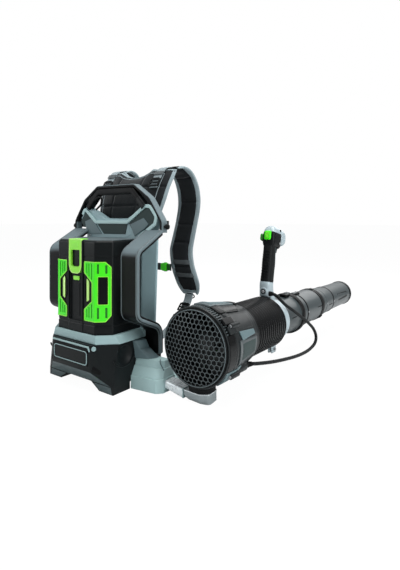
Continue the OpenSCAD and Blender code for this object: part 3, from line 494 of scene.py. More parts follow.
def directions(path, closed):
    """Each point of a path, with the way the path runs there."""
    last = len(path) - 1
    for i, point in enumerate(path):
        before = path[i - 1] if closed or i else point
        after = path[(i + 1) % len(path)] if closed or i < last else point
        yield point, after - before


def sweep(path, section, side, material, closed=False, crease=50):
    """Section points (a, b) carried along a path: a lies along side, b square to both."""
    side = Vector(side)
    rings = []
    for point, along in directions([Vector(p) for p in path], closed):
        normal = side.cross(along).normalized()
        rings.append([point + side * a + normal * b for a, b in section])
    made = solid(rings, material, closed=closed)
    return smooth(made, crease) if crease else made


def lathe(profile, material, matrix=AXIS, segments=96, crease=35):
    """Closed profile of (radius, distance) points turned about the local Y axis."""
    rings = []
    for k in range(segments):
        angle = 2 * math.pi * k / segments
        c, s = math.cos(angle), math.sin(angle)
        rings.append([(r * c, y, r * s) for r, y in profile])
    return smooth(solid(rings, material, matrix, closed=True), crease)


def tube(path, radius, material, sides=8, matrix=WORLD, closed=False, crease=60):
    """Round tube along a path, with one radius or one for each point."""
    radii = radius if isinstance(radius, list) else [radius] * len(path)
    up = Vector((0.31, -0.9, 0.3))
    rings = []
    for (point, run), r in zip(directions([Vector(p) for p in path], closed), radii):
        along = run.normalized()
        up = (up - along * up.dot(along)).normalized()
        across = along.cross(up)
        angles = [2 * math.pi * k / sides for k in range(sides)]
        rings.append([point + r * (up * math.cos(a) + across * math.sin(a)) for a in angles])
    return smooth(solid(rings, material, matrix, closed), crease)


def smooth_path(points, steps):
    """Smooth curve through points of any size, by a Catmull-Rom spline."""
    last = len(points) - 1
    knots = [Vector(points[max(0, min(last, i))]) for i in range(-1, last + 2)]
    out = []
    for k in range(steps + 1):
        x = k / steps * last
        i = min(int(x), last - 1)
        f = x - i
        a, b, c, d = knots[i : i + 4]
        curve = 2 * a - 5 * b + 4 * c - d + f * (3 * (b - c) + d - a)
        out.append(b + 0.5 * f * (c - a + f * curve))
    return out


# ---- stage and lights ----

FLOOR_HALF, FLOOR_DROP = 30, 0.0005
FLOOR_COLOR = (0.72, 0.73, 0.73, 1)
# share of the floor that the camera sees as plain white, and how white it is
FLOOR_WHITE, WHITE_STRENGTH = 0.92, 1.05
# strength of the world's light, and the share of white that glossy surfaces mirror
WORLD_LIGHT, MIRRORED_WHITE = 0.26, 0.3


def mix_white(tree, output, lit, white, share):
    """Shows white in place of the lit shader by a share, a socket of the tree."""
    mix = add_node(tree, "MixShader", {0: share, 1: lit.outputs[0], 2: white.outputs[0]})
    feed(tree, tree.nodes[output], {"Surface": mix.outputs[0]})


def make_stage():
    mesh = bpy.data.meshes.new("floor")
    corners = [(x * FLOOR_HALF, y * FLOOR_HALF, 0) for x, y in ((-1, -1), (1, -1), (1, 1), (-1, 1))]
    mesh.from_pydata(corners, [], [(0, 1, 2, 3)])
    floor = add_object("floor", mesh)
    floor.location.z = -FLOOR_DROP
    material = bpy.data.materials.new("floor_white")
    material.use_nodes = True
    tree = material.node_tree
    shader = tree.nodes["Principled BSDF"]
    feed(tree, shader, {"Base Color": FLOOR_COLOR, "Roughness": 0.9})
    white = add_node(tree, "Emission", {"Strength": WHITE_STRENGTH})
    seen = add_node(tree, "LightPath", {}).outputs["Is Camera Ray"]
    share = add_node(tree, "Math", {0: seen, 1: FLOOR_WHITE}, operation="MULTIPLY")
    mix_white(tree, "Material Output", shader, white, share.outputs[0])
    mesh.materials.append(material)

    world = bpy.data.worlds.new("studio")
    bpy.context.scene.world = world
    world.use_nodes = True
    tree = world.node_tree
    soft = tree.nodes["Background"]
    feed(tree, soft, {"Color": (0.9, 0.95, 1.0, 1), "Strength": WORLD_LIGHT})
    white = add_node(tree, "Background", {"Color": (1, 1, 1, 1)})
    rays = add_node(tree, "LightPath", {}).outputs
    shown = {0: rays["Is Glossy Ray"], 1: MIRRORED_WHITE, 2: rays["Is Camera Ray"]}
    share = add_node(tree, "Math", shown, operation="MULTIPLY_ADD", use_clamp=True)
    mix_white(tree, "World Output", soft, white, share.outputs[0])


LIT_POINT = (0.15, 0.1, 0.3)
# name, place, size, watts, colour
LIGHTS = (
    ("top", (0.3, 0.2, 2.4), (2.4, 1.6), 64, (1, 1, 1)),
    ("left", (-1.5, -1.6, 1.2), (0.9, 1.8), 20, (0.95, 0.98, 1)),
    ("right", (2.4, -0.2, 1.0), (0.8, 1.8), 34, (0.97, 0.99, 1)),
    ("behind", (0.4, 2.4, 1.4), (2.0, 1.2), 14, (1, 1, 1)),
)


def make_lights():
    for name, at, size, watts, color in LIGHTS:
        data = bpy.data.lights.new(name, "AREA")
        data.shape = "RECTANGLE"
        data.size, data.size_y = size
        data.energy, data.color = watts, color
        light = add_object(name, data)
        light.location = at
        aim = Vector(LIT_POINT) - Vector(at)
        light.rotation_euler = aim.to_track_quat("-Z", "Y").to_euler()


make_camera()

# ---- control cable ----

CABLE_ROUTE = [
    (413, 60, 76), (416, 75, 74), (421, 100, 69), (428, 140, 62), (434, 185, 55), (438, 235, 48),
    (441, 290, 41), (443, 345, 36), (443, 395, 34), (442, 435, 36), (441, 465, 42), (440, 480, 55),
    (438, 480, 73), (436, 462, 95), (434, 434, 115), (431, 400, 136), (427, 362, 158),
    (421, 328, 178), (411, 300, 197), (400, 287, 214), (388, 285, 225), (375, 286, 229),
    (363, 286, 229),
]
CABLE_R = 5


def make_cable():
    path = smooth_path(CABLE_ROUTE, 160)
    cable = tube(path, CABLE_R, "cable", 20)
    bridge("control_cable", cable)
    # ribbed strain reliefs at both ends
    radii = [8.2 - 2.6 * i / 40 + (0.5 if i % 4 < 2 else -0.1) for i in range(41)]
    sleeves = [
        place(name, body, "rubber", tube(smooth_path(points, 40), radii, "rubber", 20, crease=50))
        for name, points, body in (
            ("sleeve.gland", path[:9], "blower"), ("sleeve.handle", path[:-9:-1], "tube"))
    ]


make_cable()

# ---- back frame ----

BAR_PATH = [(0, -46, 90), (0, -46, 157), (0, -136, 198), (0, -136, 380), (0, -38, 436)]
ARCH = [(194, 428), (194, 462), (146, 530), (83, 572)]


def make_side_frame():
    path = filleted(BAR_PATH, [0, 30, 34, 34, 0], steps=10)
    band = sweep(path, box(129, 194, -12, 0, 5), ALONG_X, "painted_top_light")
    # raised bead along both edges of the outer face, in grey as a painted highlight on each edge
    beads = [sweep(path, box(x - 2.2, x + 2.2, -3, 1.0, 1.9), ALONG_X, "rail", crease=60)
             for x in (134, 190)]
    right, left = pair(joined(band, *beads))
    stand_in("side_frame_right", right)
    stand_in("side_frame_left", left)
    liner = sweep(path, box(133, 191, -17, -11.5, 2.4), ALONG_X, "rubber")
    stand_in("frame_liners", *pair(liner))


def make_arch():
    path = filleted(both_sides([(x, -26, z) for x, z in ARCH]), [0, 26, 30, 22, 22, 30, 26, 0],
                    steps=8)
    band = sweep(path, box(-12, 12, -10, 0, 3.2), ALONG_Y, "painted_top_light")
    seam = sweep(path, box(-13.0, -10.5, -8, -2.5, 1), ALONG_Y, "black")
    lugs = [lug for x, y in ((150, (-10, -6)), (184, (-16, -9)))
            for lug in pair(block((x, 193), y, (440, 462), "dark"))]
    stand_in("handle_frame", band, seam, *lugs)


def make_carry_handle():
    path = filleted(both_sides([(132, -30, 510), (79, -30, 562)]), [0, 18, 18, 0], steps=8)
    grip = sweep(path, box(-13, 10, -20, -0.3, 6.5), ALONG_Y, "black")
    # lip of the left foot, which curls round the finger opening
    hook = filleted([(-116, -39, 534), (-92, -40, 526), (-68, -40, 538), (-56, -40, 532),
                     (-60, -40, 512), (-84, -39, 497)], 9)
    # sleeve where the grip meets the right foot
    sleeve = sweep([(132, -30, 510), (107, -30, 534.5)], box(-13.5, 11, -21, 0.2, 6.5), ALONG_Y,
                   "dark", crease=None)
    stand_in("carry_handle", grip, tube(hook, 3.2, "black", 12), rounded(sleeve, 1.2))


PANEL_BACK = -34
CREST = [(-152, 482), (-142, 500), (-88, 457), (54, 457), (126, 505), (148, 504), (172, 474),
         (166, 452), (104, 414)]
# the facets' greys ('grey', 'deep_grey', 'shade') are painted light and shade of the faceted face
# under the crest
# outline in X and Z, height over the panel, material
FACETS = (
    ([(-84, 452), (54, 452), (45, 421), (-52, 420)], 2.2, "shade"),
    ([(57, 458), (127, 501), (146, 500), (167, 473), (161, 455), (124, 436), (84, 417)], 1.2,
     "shade"),
    ([(66, 451), (121, 470), (141, 452), (124, 438), (84, 416)], 3.0, "deep_grey"),
    ([(-165, 462), (-139, 493), (-86, 452), (-106, 440), (-150, 440)], 1.2, "shade"),
    ([(-143, 459), (-106, 470), (-62, 420), (-132, 417)], 3.0, "deep_grey"),
    ([(57, 451), (66, 420), (46, 410), (-54, 410), (-62, 420)], 0.8, "grey"),
)


def make_crest():
    """Raised light band along the top edge of the back panel, and the facets under it, painted in
    lighter and darker copies of the panel's grey as lit and shaded faces.
    """
    path = [(x, PANEL_BACK, z) for x, z in
            filleted(CREST, [0, 10, 14, 10, 12, 18, 14, 12, 0], steps=7)]
    rim = sweep(path, box(-5.5, 1, -5.2, 5.2, 2.2), ALONG_Y, "bracket")
    facets = [rounded(prism(outline, "Y", PANEL_BACK - rise, PANEL_BACK + 1, material), 1.0, 2)
              for outline, rise, material in FACETS]
    place("panel_crest", "backpack", "light_plastic", rim, *facets)


def make_back_panel():
    outline = both_sides([(147, 131), (147, 171), (158, 430), (173, 468), (146, 507), (132, 507),
                          (48, 469)])
    rear = [(x * 0.73 if z < 440 else x * 0.95, z) for x, z in outline]
    rear[6], rear[7] = (47, 466), (-47, 466)
    levels = ((PANEL_BACK, rear), (-17, outline), (-10, outline))
    shell = rounded(solid([[(x, y, z) for x, z in ring] for y, ring in levels], "grey"), 2.2, 3, 20)
    place("panel", "backpack", NODE_SLOTS["back_panel"], shell, node="back_panel")


def make_knobs():
    profile = [(0, 0), (4, 0), (3.6, 5), (6, 6), (8, 7.5), (8, 11.5), (6.8, 13.4), (3, 14), (0, 14)]
    knob = lathe(profile, "black", shift(194, -26, 445) @ turn(-90, "Z"), 32)
    stand_in("shoulder_knobs", *pair(knob))


make_side_frame()
make_arch()
make_carry_handle()
make_back_panel()
make_crest()
make_knobs()

# ---- battery ----

REAR, FLANK_X, SIDE, FLANK_Y = -182, 80, 115, -149
FLANK = Vector((SIDE - FLANK_X, FLANK_Y - REAR, 0)).normalized()
FLANK_OUT = Vector((FLANK.y, -FLANK.x, 0))
# half width of the strip that bends round the edge between back and flank
BEND = 1.6
PACK_MIDDLE = -110


def plate(outline, holes, low, high, material):
    """Flat plate in X and Z with holes through it, from low to high along Y."""
    work = bmesh.new()
    for edge in (outline, *holes):
        made = [work.verts.new((p[0], low, p[1])) for p in edge]
        for a, b in zip(made, made[1:] + made[:1]):
            work.edges.new((a, b))
    bmesh.ops.triangle_fill(work, edges=work.edges, use_beauty=True, use_dissolve=False)
    grown = bmesh.ops.extrude_face_region(work, geom=work.faces)["geom"]
    for vertex in (v for v in grown if isinstance(v, bmesh.types.BMVert)):
        vertex.co.y = high
    bmesh.ops.transform(work, matrix=Matrix.Scale(MM, 4), verts=work.verts)
    return mesh_object(work, material)


def wrapped(obj):
    """Bends a part drawn flat against the pack's back round onto its right flank."""
    work = bmesh.new()
    work.from_mesh(obj.data)
    for step in (-BEND, -0.5, 0.5, BEND):
        bmesh.ops.bisect_plane(
            work, geom=[*work.verts, *work.edges, *work.faces], dist=1e-7,
            plane_co=((FLANK_X + step) * MM, 0, 0), plane_no=ALONG_X,
        )
    for vertex in work.verts:
        along, depth, height = vertex.co / MM
        past = along - FLANK_X
        share = min(1, max(0, (past + BEND) / (2 * BEND)))
        out = Vector((0, -1, 0)).lerp(FLANK_OUT, share).normalized()
        foot = Vector((min(along, FLANK_X), REAR, height)) + FLANK * max(0, past)
        vertex.co = (foot - out * depth) * MM
    bmesh.ops.recalc_face_normals(work, faces=work.faces)
    work.to_mesh(obj.data)
    work.free()
    return smooth(obj, 30)


WING = loop([(39, 189), (109, 189), (124, 206), (124, 336), (109, 350), (39, 350), (39, 320),
             (71, 295), (71, 244), (39, 219)], [3, 5, 4, 4, 5, 3, 3, 4, 4, 3], 4)
# slots as x0, x1, z0, z1 and how far the lower end drops on the right
SLOTS = [
    loop([(x0, z0), (x1, z0 - drop), (x1, z1), (x0, z1)], 1.1, 2)
    for x0, x1, z0, z1, drop in (
        (47, 51, 319, 345, 3), (56, 60, 312, 345, 3), (67, 71, 303, 345, 3),
        (86, 91.5, 319, 345, 0), (108, 114, 319, 342, 0), (47, 51, 196, 220, -3),
        (56, 60, 196, 227, -3), (67, 71, 196, 236, -3), (86, 91.5, 197, 227, 0),
        (108, 114, 199, 227, 0))
]
LABEL = box(88, 116, 235, 311, 3)


def make_battery_panels():
    # the darker green plate under the wing shows through its slots as painted shade in them
    parts = [plate(WING, [], 1.9, -0.3, "deep_green"),
             plate(WING, [*SLOTS, LABEL], -0.2, -1.5, "green"),
             plate(LABEL, [], -0.2, -0.8, "gloss_black")]
    parts += [sweep([(x, -1.4, z) for x, z in edge], box(-1.0, 0.6, -width, width, 0.6, 2), ALONG_Y,
                    "lime", True, None) for edge, width in ((WING, 1.1), (LABEL, 0.8))]
    stand_in("battery_panels", *pair(joined(*map(wrapped, parts))))

    hexagon = loop([(41, 252), (54, 232), (68, 246), (68, 294), (54, 310), (41, 292)], 3)
    rim = sweep([(x, REAR, z) for x, z in hexagon], box(-1.2, 0.5, -1.3, 1.3, 1), ALONG_Y, "black",
                True)
    place("gauge_frames", "battery", NODE_SLOTS["battery_case"], *pair(rim))
    lens = loop([(48, 240), (57.5, 246), (57.5, 297), (48, 305)], 1.5, 3)
    bar = rounded(prism(lens, "Y", REAR - 1.5, REAR + 0.3, "glow"), 0.5, 2)
    tab = rounded(prism(box(-13, 13, 296, 307, 2, 6), "Y", -181, -178, "lime"), 0.7, 2)
    stand_in("battery_gauge", *pair(bar), tab)


def make_battery_case():
    corners = [(SIDE, -44), (SIDE, FLANK_Y), (FLANK_X, REAR), (33, REAR), (29, -184)]
    outline = filleted(both_sides(corners), [0, 7, 9, 1.2, 1.2, 1.2, 1.2, 9, 7, 0], steps=5)

    def scaled(by_x, by_y):
        return [(x * by_x, PACK_MIDDLE + (y - PACK_MIDDLE) * by_y) for x, y in outline]

    levels = [(150, 2.5), (152.5, 0.4), (154, 0), (174, 0), (175.2, 1.6), (177, 1.9), (178.6, 0.8),
              (180, 0.5), (360.6, 0.5), (361.6, 1.6), (363, 1.6), (364, 0.5), (366, 0.3),
              (401, 0.3), (404, 1.2), (409, 5.5)]
    case = solid([[(x, y, z) for x, y in scaled(1 - inset / 112, 1 - inset / 70)]
                  for z, inset in levels], "case")
    carve(case, block((-28, 28), (-200, -178), (184, 430), "case", round_by=2))
    smooth(case, 24)
    # ridges either side of the channel, and the bare strip in its middle
    ridge = prism(box(28.6, 32.4, 185, 408, 1.4, 6), "Y", -185.2, REAR, "dark")
    strip = block((-13, 13), (-179.2, -177.6), (196, 288), "dark", round_by=0.5)
    lid = rounded(prism(scaled(0.955, 0.93), "Z", 405, 410.2, "rail"), 1.5, 2)
    stand_in("battery_case", case, *pair(rounded(ridge, 0.8, 2)), strip, lid)


def make_battery_handle():
    outline = loop(both_sides([(-26.5, 411), (-27, 338), (-22, 322), (-12, 316)]),
                   [3, 8, 10, 8, 8, 10, 8, 3], 5)
    window = loop([(-19.5, 339), (-15, 334), (15, 334), (19.5, 339), (19.5, 381), (-19.5, 381)],
                  3, 3)
    bow = rounded(plate(outline, [window], -178.2, -185, "lime"), 0.9, 2)
    top = [(-184.6, 398), (-184.6, 411), (-178, 412), (-160, 412), (-160, 409.4), (-178, 409.4)]
    top = rounded(prism(top, "X", -26, 26, "lime"), 0.9, 2)
    ribs = [block((-15, 15), (-185.9, -184.6), (z, z + 1.6), "lime", round_by=0.5)
            for z in range(386, 403, 4)]
    bead = sweep([(x * 0.985, -185, z) for x, z in outline], box(-0.7, 0.7, -1.2, 1.2, 0.6, 2),
                 ALONG_Y, "glow", True)
    stand_in("battery_handle", bow, top, bead, *ribs)


make_battery_case()
make_battery_panels()
make_battery_handle()

# ---- fan ----

GUARD_R, GUARD_DOME, GUARD_FRONT = 98, 16, -100
CELL, CELL_RIB, HEX = 13.0, 1.9, math.sqrt(3) / 2
PATCH_STEPS = 12


def polar(radius, y, degrees):
    angle = math.radians(degrees)
    return Vector((radius * math.cos(angle), y, radius * math.sin(angle)))


def cone_r(y):
    """Outer radius of the fan housing at a distance along the axis."""
    return 103 if y < -28 else 100.5 - (y + 28) / 108 * 14


def patch(corners, lift, thick, material, bevel):
    """Curved plate on the housing, its corners given as (angle, distance) in turn."""
    a, b, c, d = map(Vector, corners)

    def at(u, v, depth):
        angle, y = a.lerp(b, v).lerp(d.lerp(c, v), u)
        return polar(cone_r(y) + lift - depth, y, angle)

    steps = [k / PATCH_STEPS for k in range(PATCH_STEPS + 1)]
    rings = [[at(u, v, 0) for v in steps] + [at(u, v, thick) for v in reversed(steps)]
             for u in steps]
    return rounded(solid(rings, material, AXIS), bevel, 2, 35)


def rim_ribs(angles):
    """Short ribs along the axis round the intake's rim, one at each angle."""
    work = bmesh.new()
    for angle in angles:
        at = AXIS @ turn(-angle, "Y")
        v = [work.verts.new(at @ Vector((r, y, w)) * MM)
             for r in (99, 103) for y in (-81, -63.5) for w in (-1.4, 1.4)]
        for face in ((0, 1, 3, 2), (4, 6, 7, 5), (0, 4, 5, 1), (2, 3, 7, 6), (0, 2, 6, 4),
                     (1, 5, 7, 3)):
            work.faces.new([v[i] for i in face])
    return rounded(mesh_object(work, "guard_face"), 0.5, 1)


def honeycomb():
    """Domed grille of hexagonal cells."""
    work = bmesh.new()
    found = {}

    def corner(x, z):
        key = (round(x, 2), round(z, 2))
        if key not in found:
            found[key] = work.verts.new((x, 0, z))
        return found[key]

    cells = int(GUARD_R / CELL / HEX) + 1
    size = CELL / 2 / HEX
    spokes = [math.radians(30 + 60 * k) for k in range(6)]
    for i in range(-cells - 4, cells + 5):
        for j in range(-cells, cells + 1):
            x, z = (i + (j % 2) / 2) * CELL, j * CELL * HEX
            if math.hypot(x, z) < GUARD_R + 3:
                work.faces.new([corner(x + size * math.cos(a), z + size * math.sin(a))
                                for a in spokes])
    work.normal_update()
    bmesh.ops.inset_individual(work, faces=work.faces, thickness=CELL_RIB / 2,
                               use_even_offset=True)
    bmesh.ops.delete(work, geom=[f for f in work.faces if len(f.verts) == 6], context="FACES")
    sphere_r = (GUARD_R ** 2 + GUARD_DOME ** 2) / (2 * GUARD_DOME)
    for vertex in work.verts:
        x, _, z = vertex.co
        far = math.hypot(x, z)
        near = min(far, GUARD_R - 4)
        depth = GUARD_FRONT + sphere_r - math.sqrt(sphere_r ** 2 - near ** 2)
        vertex.co = AXIS @ Vector((x * near / far, depth, z * near / far)) * MM
    grille = mesh_object(work, "guard")
    thick = grille.modifiers.new("thick", "SOLIDIFY")
    thick.thickness = 4 * MM
    thick.offset = 1 if grille.data.polygons[0].normal.y < 0 else -1
    bake(grille)
    # faces turned to the front take the lighter grey: a painted highlight on the ribs
    grille.data.materials.append(MATERIALS["guard_face"])
    for face in grille.data.polygons:
        face.material_index = int(face.normal.y < -0.5)
    return smooth(grille)


def make_guard():
    rim = lathe([(90.5, -85), (92, -89.5), (95.4, -90.5), (97.6, -88), (98, -84), (98, -60),
                 (94, -60), (93, -80)], "guard", segments=128)
    # grey hoop round the front of the rim: a painted highlight on the rim's lip
    hoop = tube([polar(95, -90.2, 360 * k / 128) for k in range(128)], 1.1, "rail", matrix=AXIS,
                closed=True)
    hub = lathe([(0, -101.5), (9, -101), (11, -99), (11, -95), (0, -95)], "guard", segments=32)
    stand_in("intake_guard", honeycomb(), rim, hoop, hub)


# raised panels of the housing's shell, each as the arguments of patch
SHELL_PATCHES = (
    ([(-30, -82), (-30, -52), (24, -52), (24, -82)], 0.9, 5, "gloss_black", 1.0),
    ([(57, -60), (57, 40), (75, 62), (75, -60)], 3.4, 6, "gloss_black", 2.0),
    ([(27, -46), (25, 66), (54, 70), (54, -46)], 1.6, 5, "housing", 2.2),
    ([(11, -16), (13, 66), (21.5, 62), (25, -24)], 2.4, 5, "deep_grey", 1.4),
    ([(38, -78), (38, -36), (48, -36), (48, -78)], 7, 9, "gloss_black", 2.4),
    ([(25, -74), (25, -40), (35, -44), (35, -74)], 6, 9, "housing", 2.4),
    ([(-62, -60), (-56, 8), (-29, -2), (-27, -82)], 2.6, 7, "deep_grey", 1.8),
    ([(-118, -50), (-114, 60), (-66, 60), (-66, -50)], 2.0, 6, "housing", 2.2),
    ([(154, -48), (156, 64), (206, 64), (206, -48)], 1.8, 6, "housing", 2.2),
    ([(112, -46), (112, 68), (142, 68), (146, -46)], 1.6, 5, "housing", 2.2),
)
# grey strips on the black ridge ('rail' and 'deep_grey'): painted highlights along its top
RIDGE_PATCHES = (
    ([(105, -57), (101, 74), (79, 74), (75, -57)], 4.2, 8, "rail", 2.4),
    ([(104, 66), (102, 84), (78, 84), (76, 66)], 5.4, 8, "black", 1.6),
    ([(100, -44), (97, 56), (83, 56), (80, -44)], 5.2, 4, "deep_grey", 0.8),
)
SIDE_PATCHES = (
    ([(-23, -36), (-23, 72), (9, 72), (13, -36)], 2.8, 7, "tube", 2.0),
    ([(-17, -18), (-17, 62), (5, 62), (7, -18)], 3.5, 4, "shade", 0.6),
)


def make_housing():
    parts = [
        lathe([(99, -84.5), (102, -84.5), (103, -82), (103, -80.5), (99.5, -80), (99.5, -64),
               (103, -63.5), (103, -56), (101, -54.5), (101, -50), (103, -48), (103, -31),
               (101.5, -29), (100.2, -26), (87.2, 78), (86.5, 82), (84, 84), (84, 95), (68, 95),
               (80, 70), (80, -38), (98.4, -58)], "housing", segments=128, crease=28),
        # black band at the bottom of the recess behind the rim: painted shade in the gaps between
        # the ribs
        lathe([(99, -82), (99.8, -82), (99.8, -62), (99, -62)], "black"),
        rim_ribs([*range(26, 152, 4), *range(160, 300, 4)]),
    ]
    # bosses of the four long screws, each with a web down to the shell
    for angle in (35, 145, 215, 325):
        at = AXIS @ turn(angle, "Y") @ shift(108, 0, 0)
        parts += [lathe([(2.6, -60), (6.4, -60), (7, -59), (7, -24), (5, -20), (2.6, -20)],
                        "housing", at, 28),
                  block((-16, -2), (-58, -22), (-7, 7), "housing", at, 2.5)]
    gland_boss = lathe([(0, -20), (10, -20), (13, -14), (13, 24), (11, 27), (0, 27)], "housing",
                       AXIS @ shift(65, 20, -65), 32)
    stand_in("fan_housing", *parts, *(patch(*row) for row in SHELL_PATCHES), gland_boss)
    stand_in("housing_ridge", *(patch(*row) for row in RIDGE_PATCHES))
    stand_in("side_panel", *(patch(*row) for row in SIDE_PATCHES))


# one rib of the bellows, as radius and share of the ribs' pitch
BELLOWS_RIB = ((72.8, 0.04), (72.2, 0.12), (73, 0.2), (78.4, 0.3), (79.6, 0.38), (80, 0.5),
               (80, 0.74), (79.5, 0.86), (78.4, 0.94))


def make_bellows():
    start, end, count = 99, 279, 14
    pitch = (end - start) / count
    profile = [(70, 95), (80, 95), (80.5, 97)]
    profile += [(r, start + (k + share) * pitch) for k in range(count) for r, share in BELLOWS_RIB]
    profile += [(76, 281), (75, 286), (73, 289), (61.3, 289), (61.3, 273), (70, 271)]
    bridge("bellows", lathe(profile, "bellows", segments=112, crease=42))


make_guard()
make_housing()
make_bellows()

# ---- blower tubes, each turned about the fan axis ----


def outward(angle, radius, y=0):
    """Frame on the outside of a tube: x outward, y along it, at an angle above level."""
    return AXIS @ turn(-angle, "Y") @ shift(radius, y, 0)


def stud(angle, y, radius, size):
    profile = [(0, -1), (size, -1), (size, 0.5), (0.85 * size, 1.1), (0.4 * size, 1.1),
               (0.3 * size, 0.5), (0, 0.5)]
    return lathe(profile, "steel", outward(angle, radius, y) @ turn(-90, "Z"), 20)


def turned(profile, material, crease=30):
    return lathe(profile, material, segments=128, crease=crease)


# Black patch a little proud of the tube, in the place of a slot: painted shade of the slot's
# opening.
def bar_slot(angle, y0, y1, radius):
    outline = box(y0, y1, -1.6, 1.6, 1.5, 6)
    return prism(outline, "X", radius - 1.5, radius + 0.5, "black", AXIS @ turn(-angle, "Y"))


def make_swivel_tube():
    body = turned([
        (58.5, 266), (61, 266), (61, 336), (61.8, 337.5), (61.8, 341), (61, 342.5), (60.8, 412),
        (61.6, 424), (63, 430), (65.5, 434), (65.5, 438), (57.4, 438), (57.4, 432), (58.5, 428)],
        "tube")
    collar = turned([
        (62, 432), (66, 433), (68.4, 435.5), (69.4, 438), (69.6, 443), (68.6, 444), (68.6, 446),
        (69.6, 447), (69.5, 452), (68.6, 455), (66.5, 456.2), (57.5, 456.2), (57.5, 437),
        (62, 437)], "collar")
    hump = block((-3, 10.5), (404, 441), (-13, 13), "collar", outward(86, 61), 4)
    tip = block((6, 12.5), (424, 450), (-8, 8), "tube", outward(86, 61), 3)
    stand_in("swivel_tube", body, collar, hump, tip, bar_slot(4, 362, 396, 61))


def make_middle_tube():
    parts = [
        turned([(54.3, 427), (57, 427), (57, 456.6), (60, 456.6), (60, 494), (60.4, 494.4),
                (60.4, 500), (60, 500.6), (59.4, 560), (59, 634), (54.5, 634), (54.5, 620)],
               "tube"),
        turned([(59.6, 493.6), (61.2, 494.6), (61.7, 496), (61.7, 500), (61.2, 501.4),
                (59.6, 502.4)], "collar"),
        turned([(59.7, 457), (61.4, 457.2), (62.2, 459), (62.2, 464), (61.2, 466), (59.6, 467)],
               "black"),
        turned([(58.6, 630), (60, 631), (61, 633), (61.2, 640), (60, 641.4), (60, 644.6),
                (61.2, 646), (61.2, 653), (60.4, 655), (55.6, 655), (55.6, 628)], "collar"),
        block((-2, 6), (468, 520), (-9, 9), "black", outward(82, 60), 2.6),
        block((4, 7.6), (476, 500), (-6, 6), "tube", outward(82, 60), 1.8),
    ]
    parts += [block((-1, 3.4), (636, 652), (-7, 7), "black", outward(a, 60), 1.4)
              for a in (80, 200, 320)]
    for angle in (3, 183):
        parts += [stud(angle, 498, 61.4, 3.2), bar_slot(angle + 2, 588, 628, 59.1)]
    stand_in("middle_tube", *parts)


def make_nozzle():
    parts = [
        turned([(52.3, 630), (54.6, 630), (54.6, 657), (54.2, 660), (53.6, 698), (54.4, 699),
                (54.4, 706), (53.6, 707), (51.4, 779), (50.4, 786), (50, 900), (50.2, 992),
                (46.8, 992), (47, 784), (50, 700)], "tube"),
        turned([(51, 777), (52.2, 778), (52.6, 780), (52.6, 785), (52, 787), (50, 788)],
               "collar"),
        turned([(54, 655.6), (57.6, 655.8), (58.6, 658), (58.2, 664), (56, 667), (53.8, 668)],
               "black"),
        turned([(50, 988), (51.2, 990), (52, 993), (52, 1005), (51.2, 1007.4), (49.8, 1008),
                (48.6, 1007), (48, 1004), (46.8, 1002), (46.4, 986)], "collar"),
        turned([(46.3, 790), (46.9, 790), (46.9, 1001), (46.3, 1001)], "black"),
    ]
    # low bare panel along the side
    outline = loop([(-15, 842), (15, 836), (13, 952), (-12, 946)], 5)
    rings = [[(math.sqrt(r * r - x * x), y, x) for x, y in outline] for r in (49, 50.8)]
    for angle in (0, 180):
        parts += [stud(angle + 1, 702.5, 54.3, 3.2), stud(angle, 782.5, 52.5, 3.0),
                  bar_slot(angle - 8, 722, 762, 52.6),
                  solid(rings, "housing", AXIS @ turn(-9 - angle, "Y"))]
    stand_in("nozzle_tube", *parts)


def make_clamp():
    ring = turned([
        (61.2, 292), (66.6, 292), (68, 293.6), (68, 300), (67, 301.4), (67, 318.6), (68, 320),
        (68, 326.4), (66.6, 328), (61.2, 328)], "pale", 25)
    ears = [block(x, (300, 328), (-104, -58), "pale", AXIS, 2.4) for x in ((3, 9), (13, 19))]
    stand_in("clamp_ring", ring, *ears)


make_swivel_tube()
make_middle_tube()
make_nozzle()
make_clamp()

# ---- control handle, in the frame of the leaning grip ----


def oval_ring(width, depth, radius, y, z):
    outline = box(-width / 2, width / 2, -depth / 2, depth / 2, radius, 6)
    return [(p.x, p.y + y, z) for p in outline]


def oval_loft(levels, radius, material):
    """Rounded form through levels of (z, width, depth, y)."""
    rings = [oval_ring(w, d, min(radius, 0.48 * min(w, d)), y, z) for z, w, d, y in levels]
    return smooth(solid(rings, material, GRIP))


def pins(x, y, z, radius, half, material, segments):
    """Low round pins on both cheeks of the head."""
    profile = [(0, -half), (radius, -half), (radius + 0.2, 0), (radius, half), (0, half)]
    return [lathe(profile, material, GRIP @ shift(side, y, z) @ turn(90, "Z"), segments)
            for side in (-x, x)]


def make_grip():
    levels = smooth_path([(-1, 35, 41, 0), (6, 36.5, 42, 0), (34, 35, 41, 0.5), (62, 36, 43, 0.4),
                          (88, 35, 40, -1), (104, 35, 39, -1.6), (120, 36, 39.5, -1.6)], 30)
    front = [[(a * 0.62 + 4.5, y + d / 2 - 7 + b * 0.5, z) for a, b in box(-15, 15, -16, 17, 8)]
             for z, _, d, y in levels[1:-1]]
    strip = smooth(solid(front, "deep_grey", GRIP))
    # black strips across the grip's front in the place of grooves: painted shade of the grooves
    grooves = [block((-12, 12), (-22.6, -20.4), (z, z + 2.2), "black", GRIP, 0.8)
               for z in range(14, 104, 9)]
    stand_in("handle_grip", oval_loft(levels, 16, "grip"), strip, *grooves)


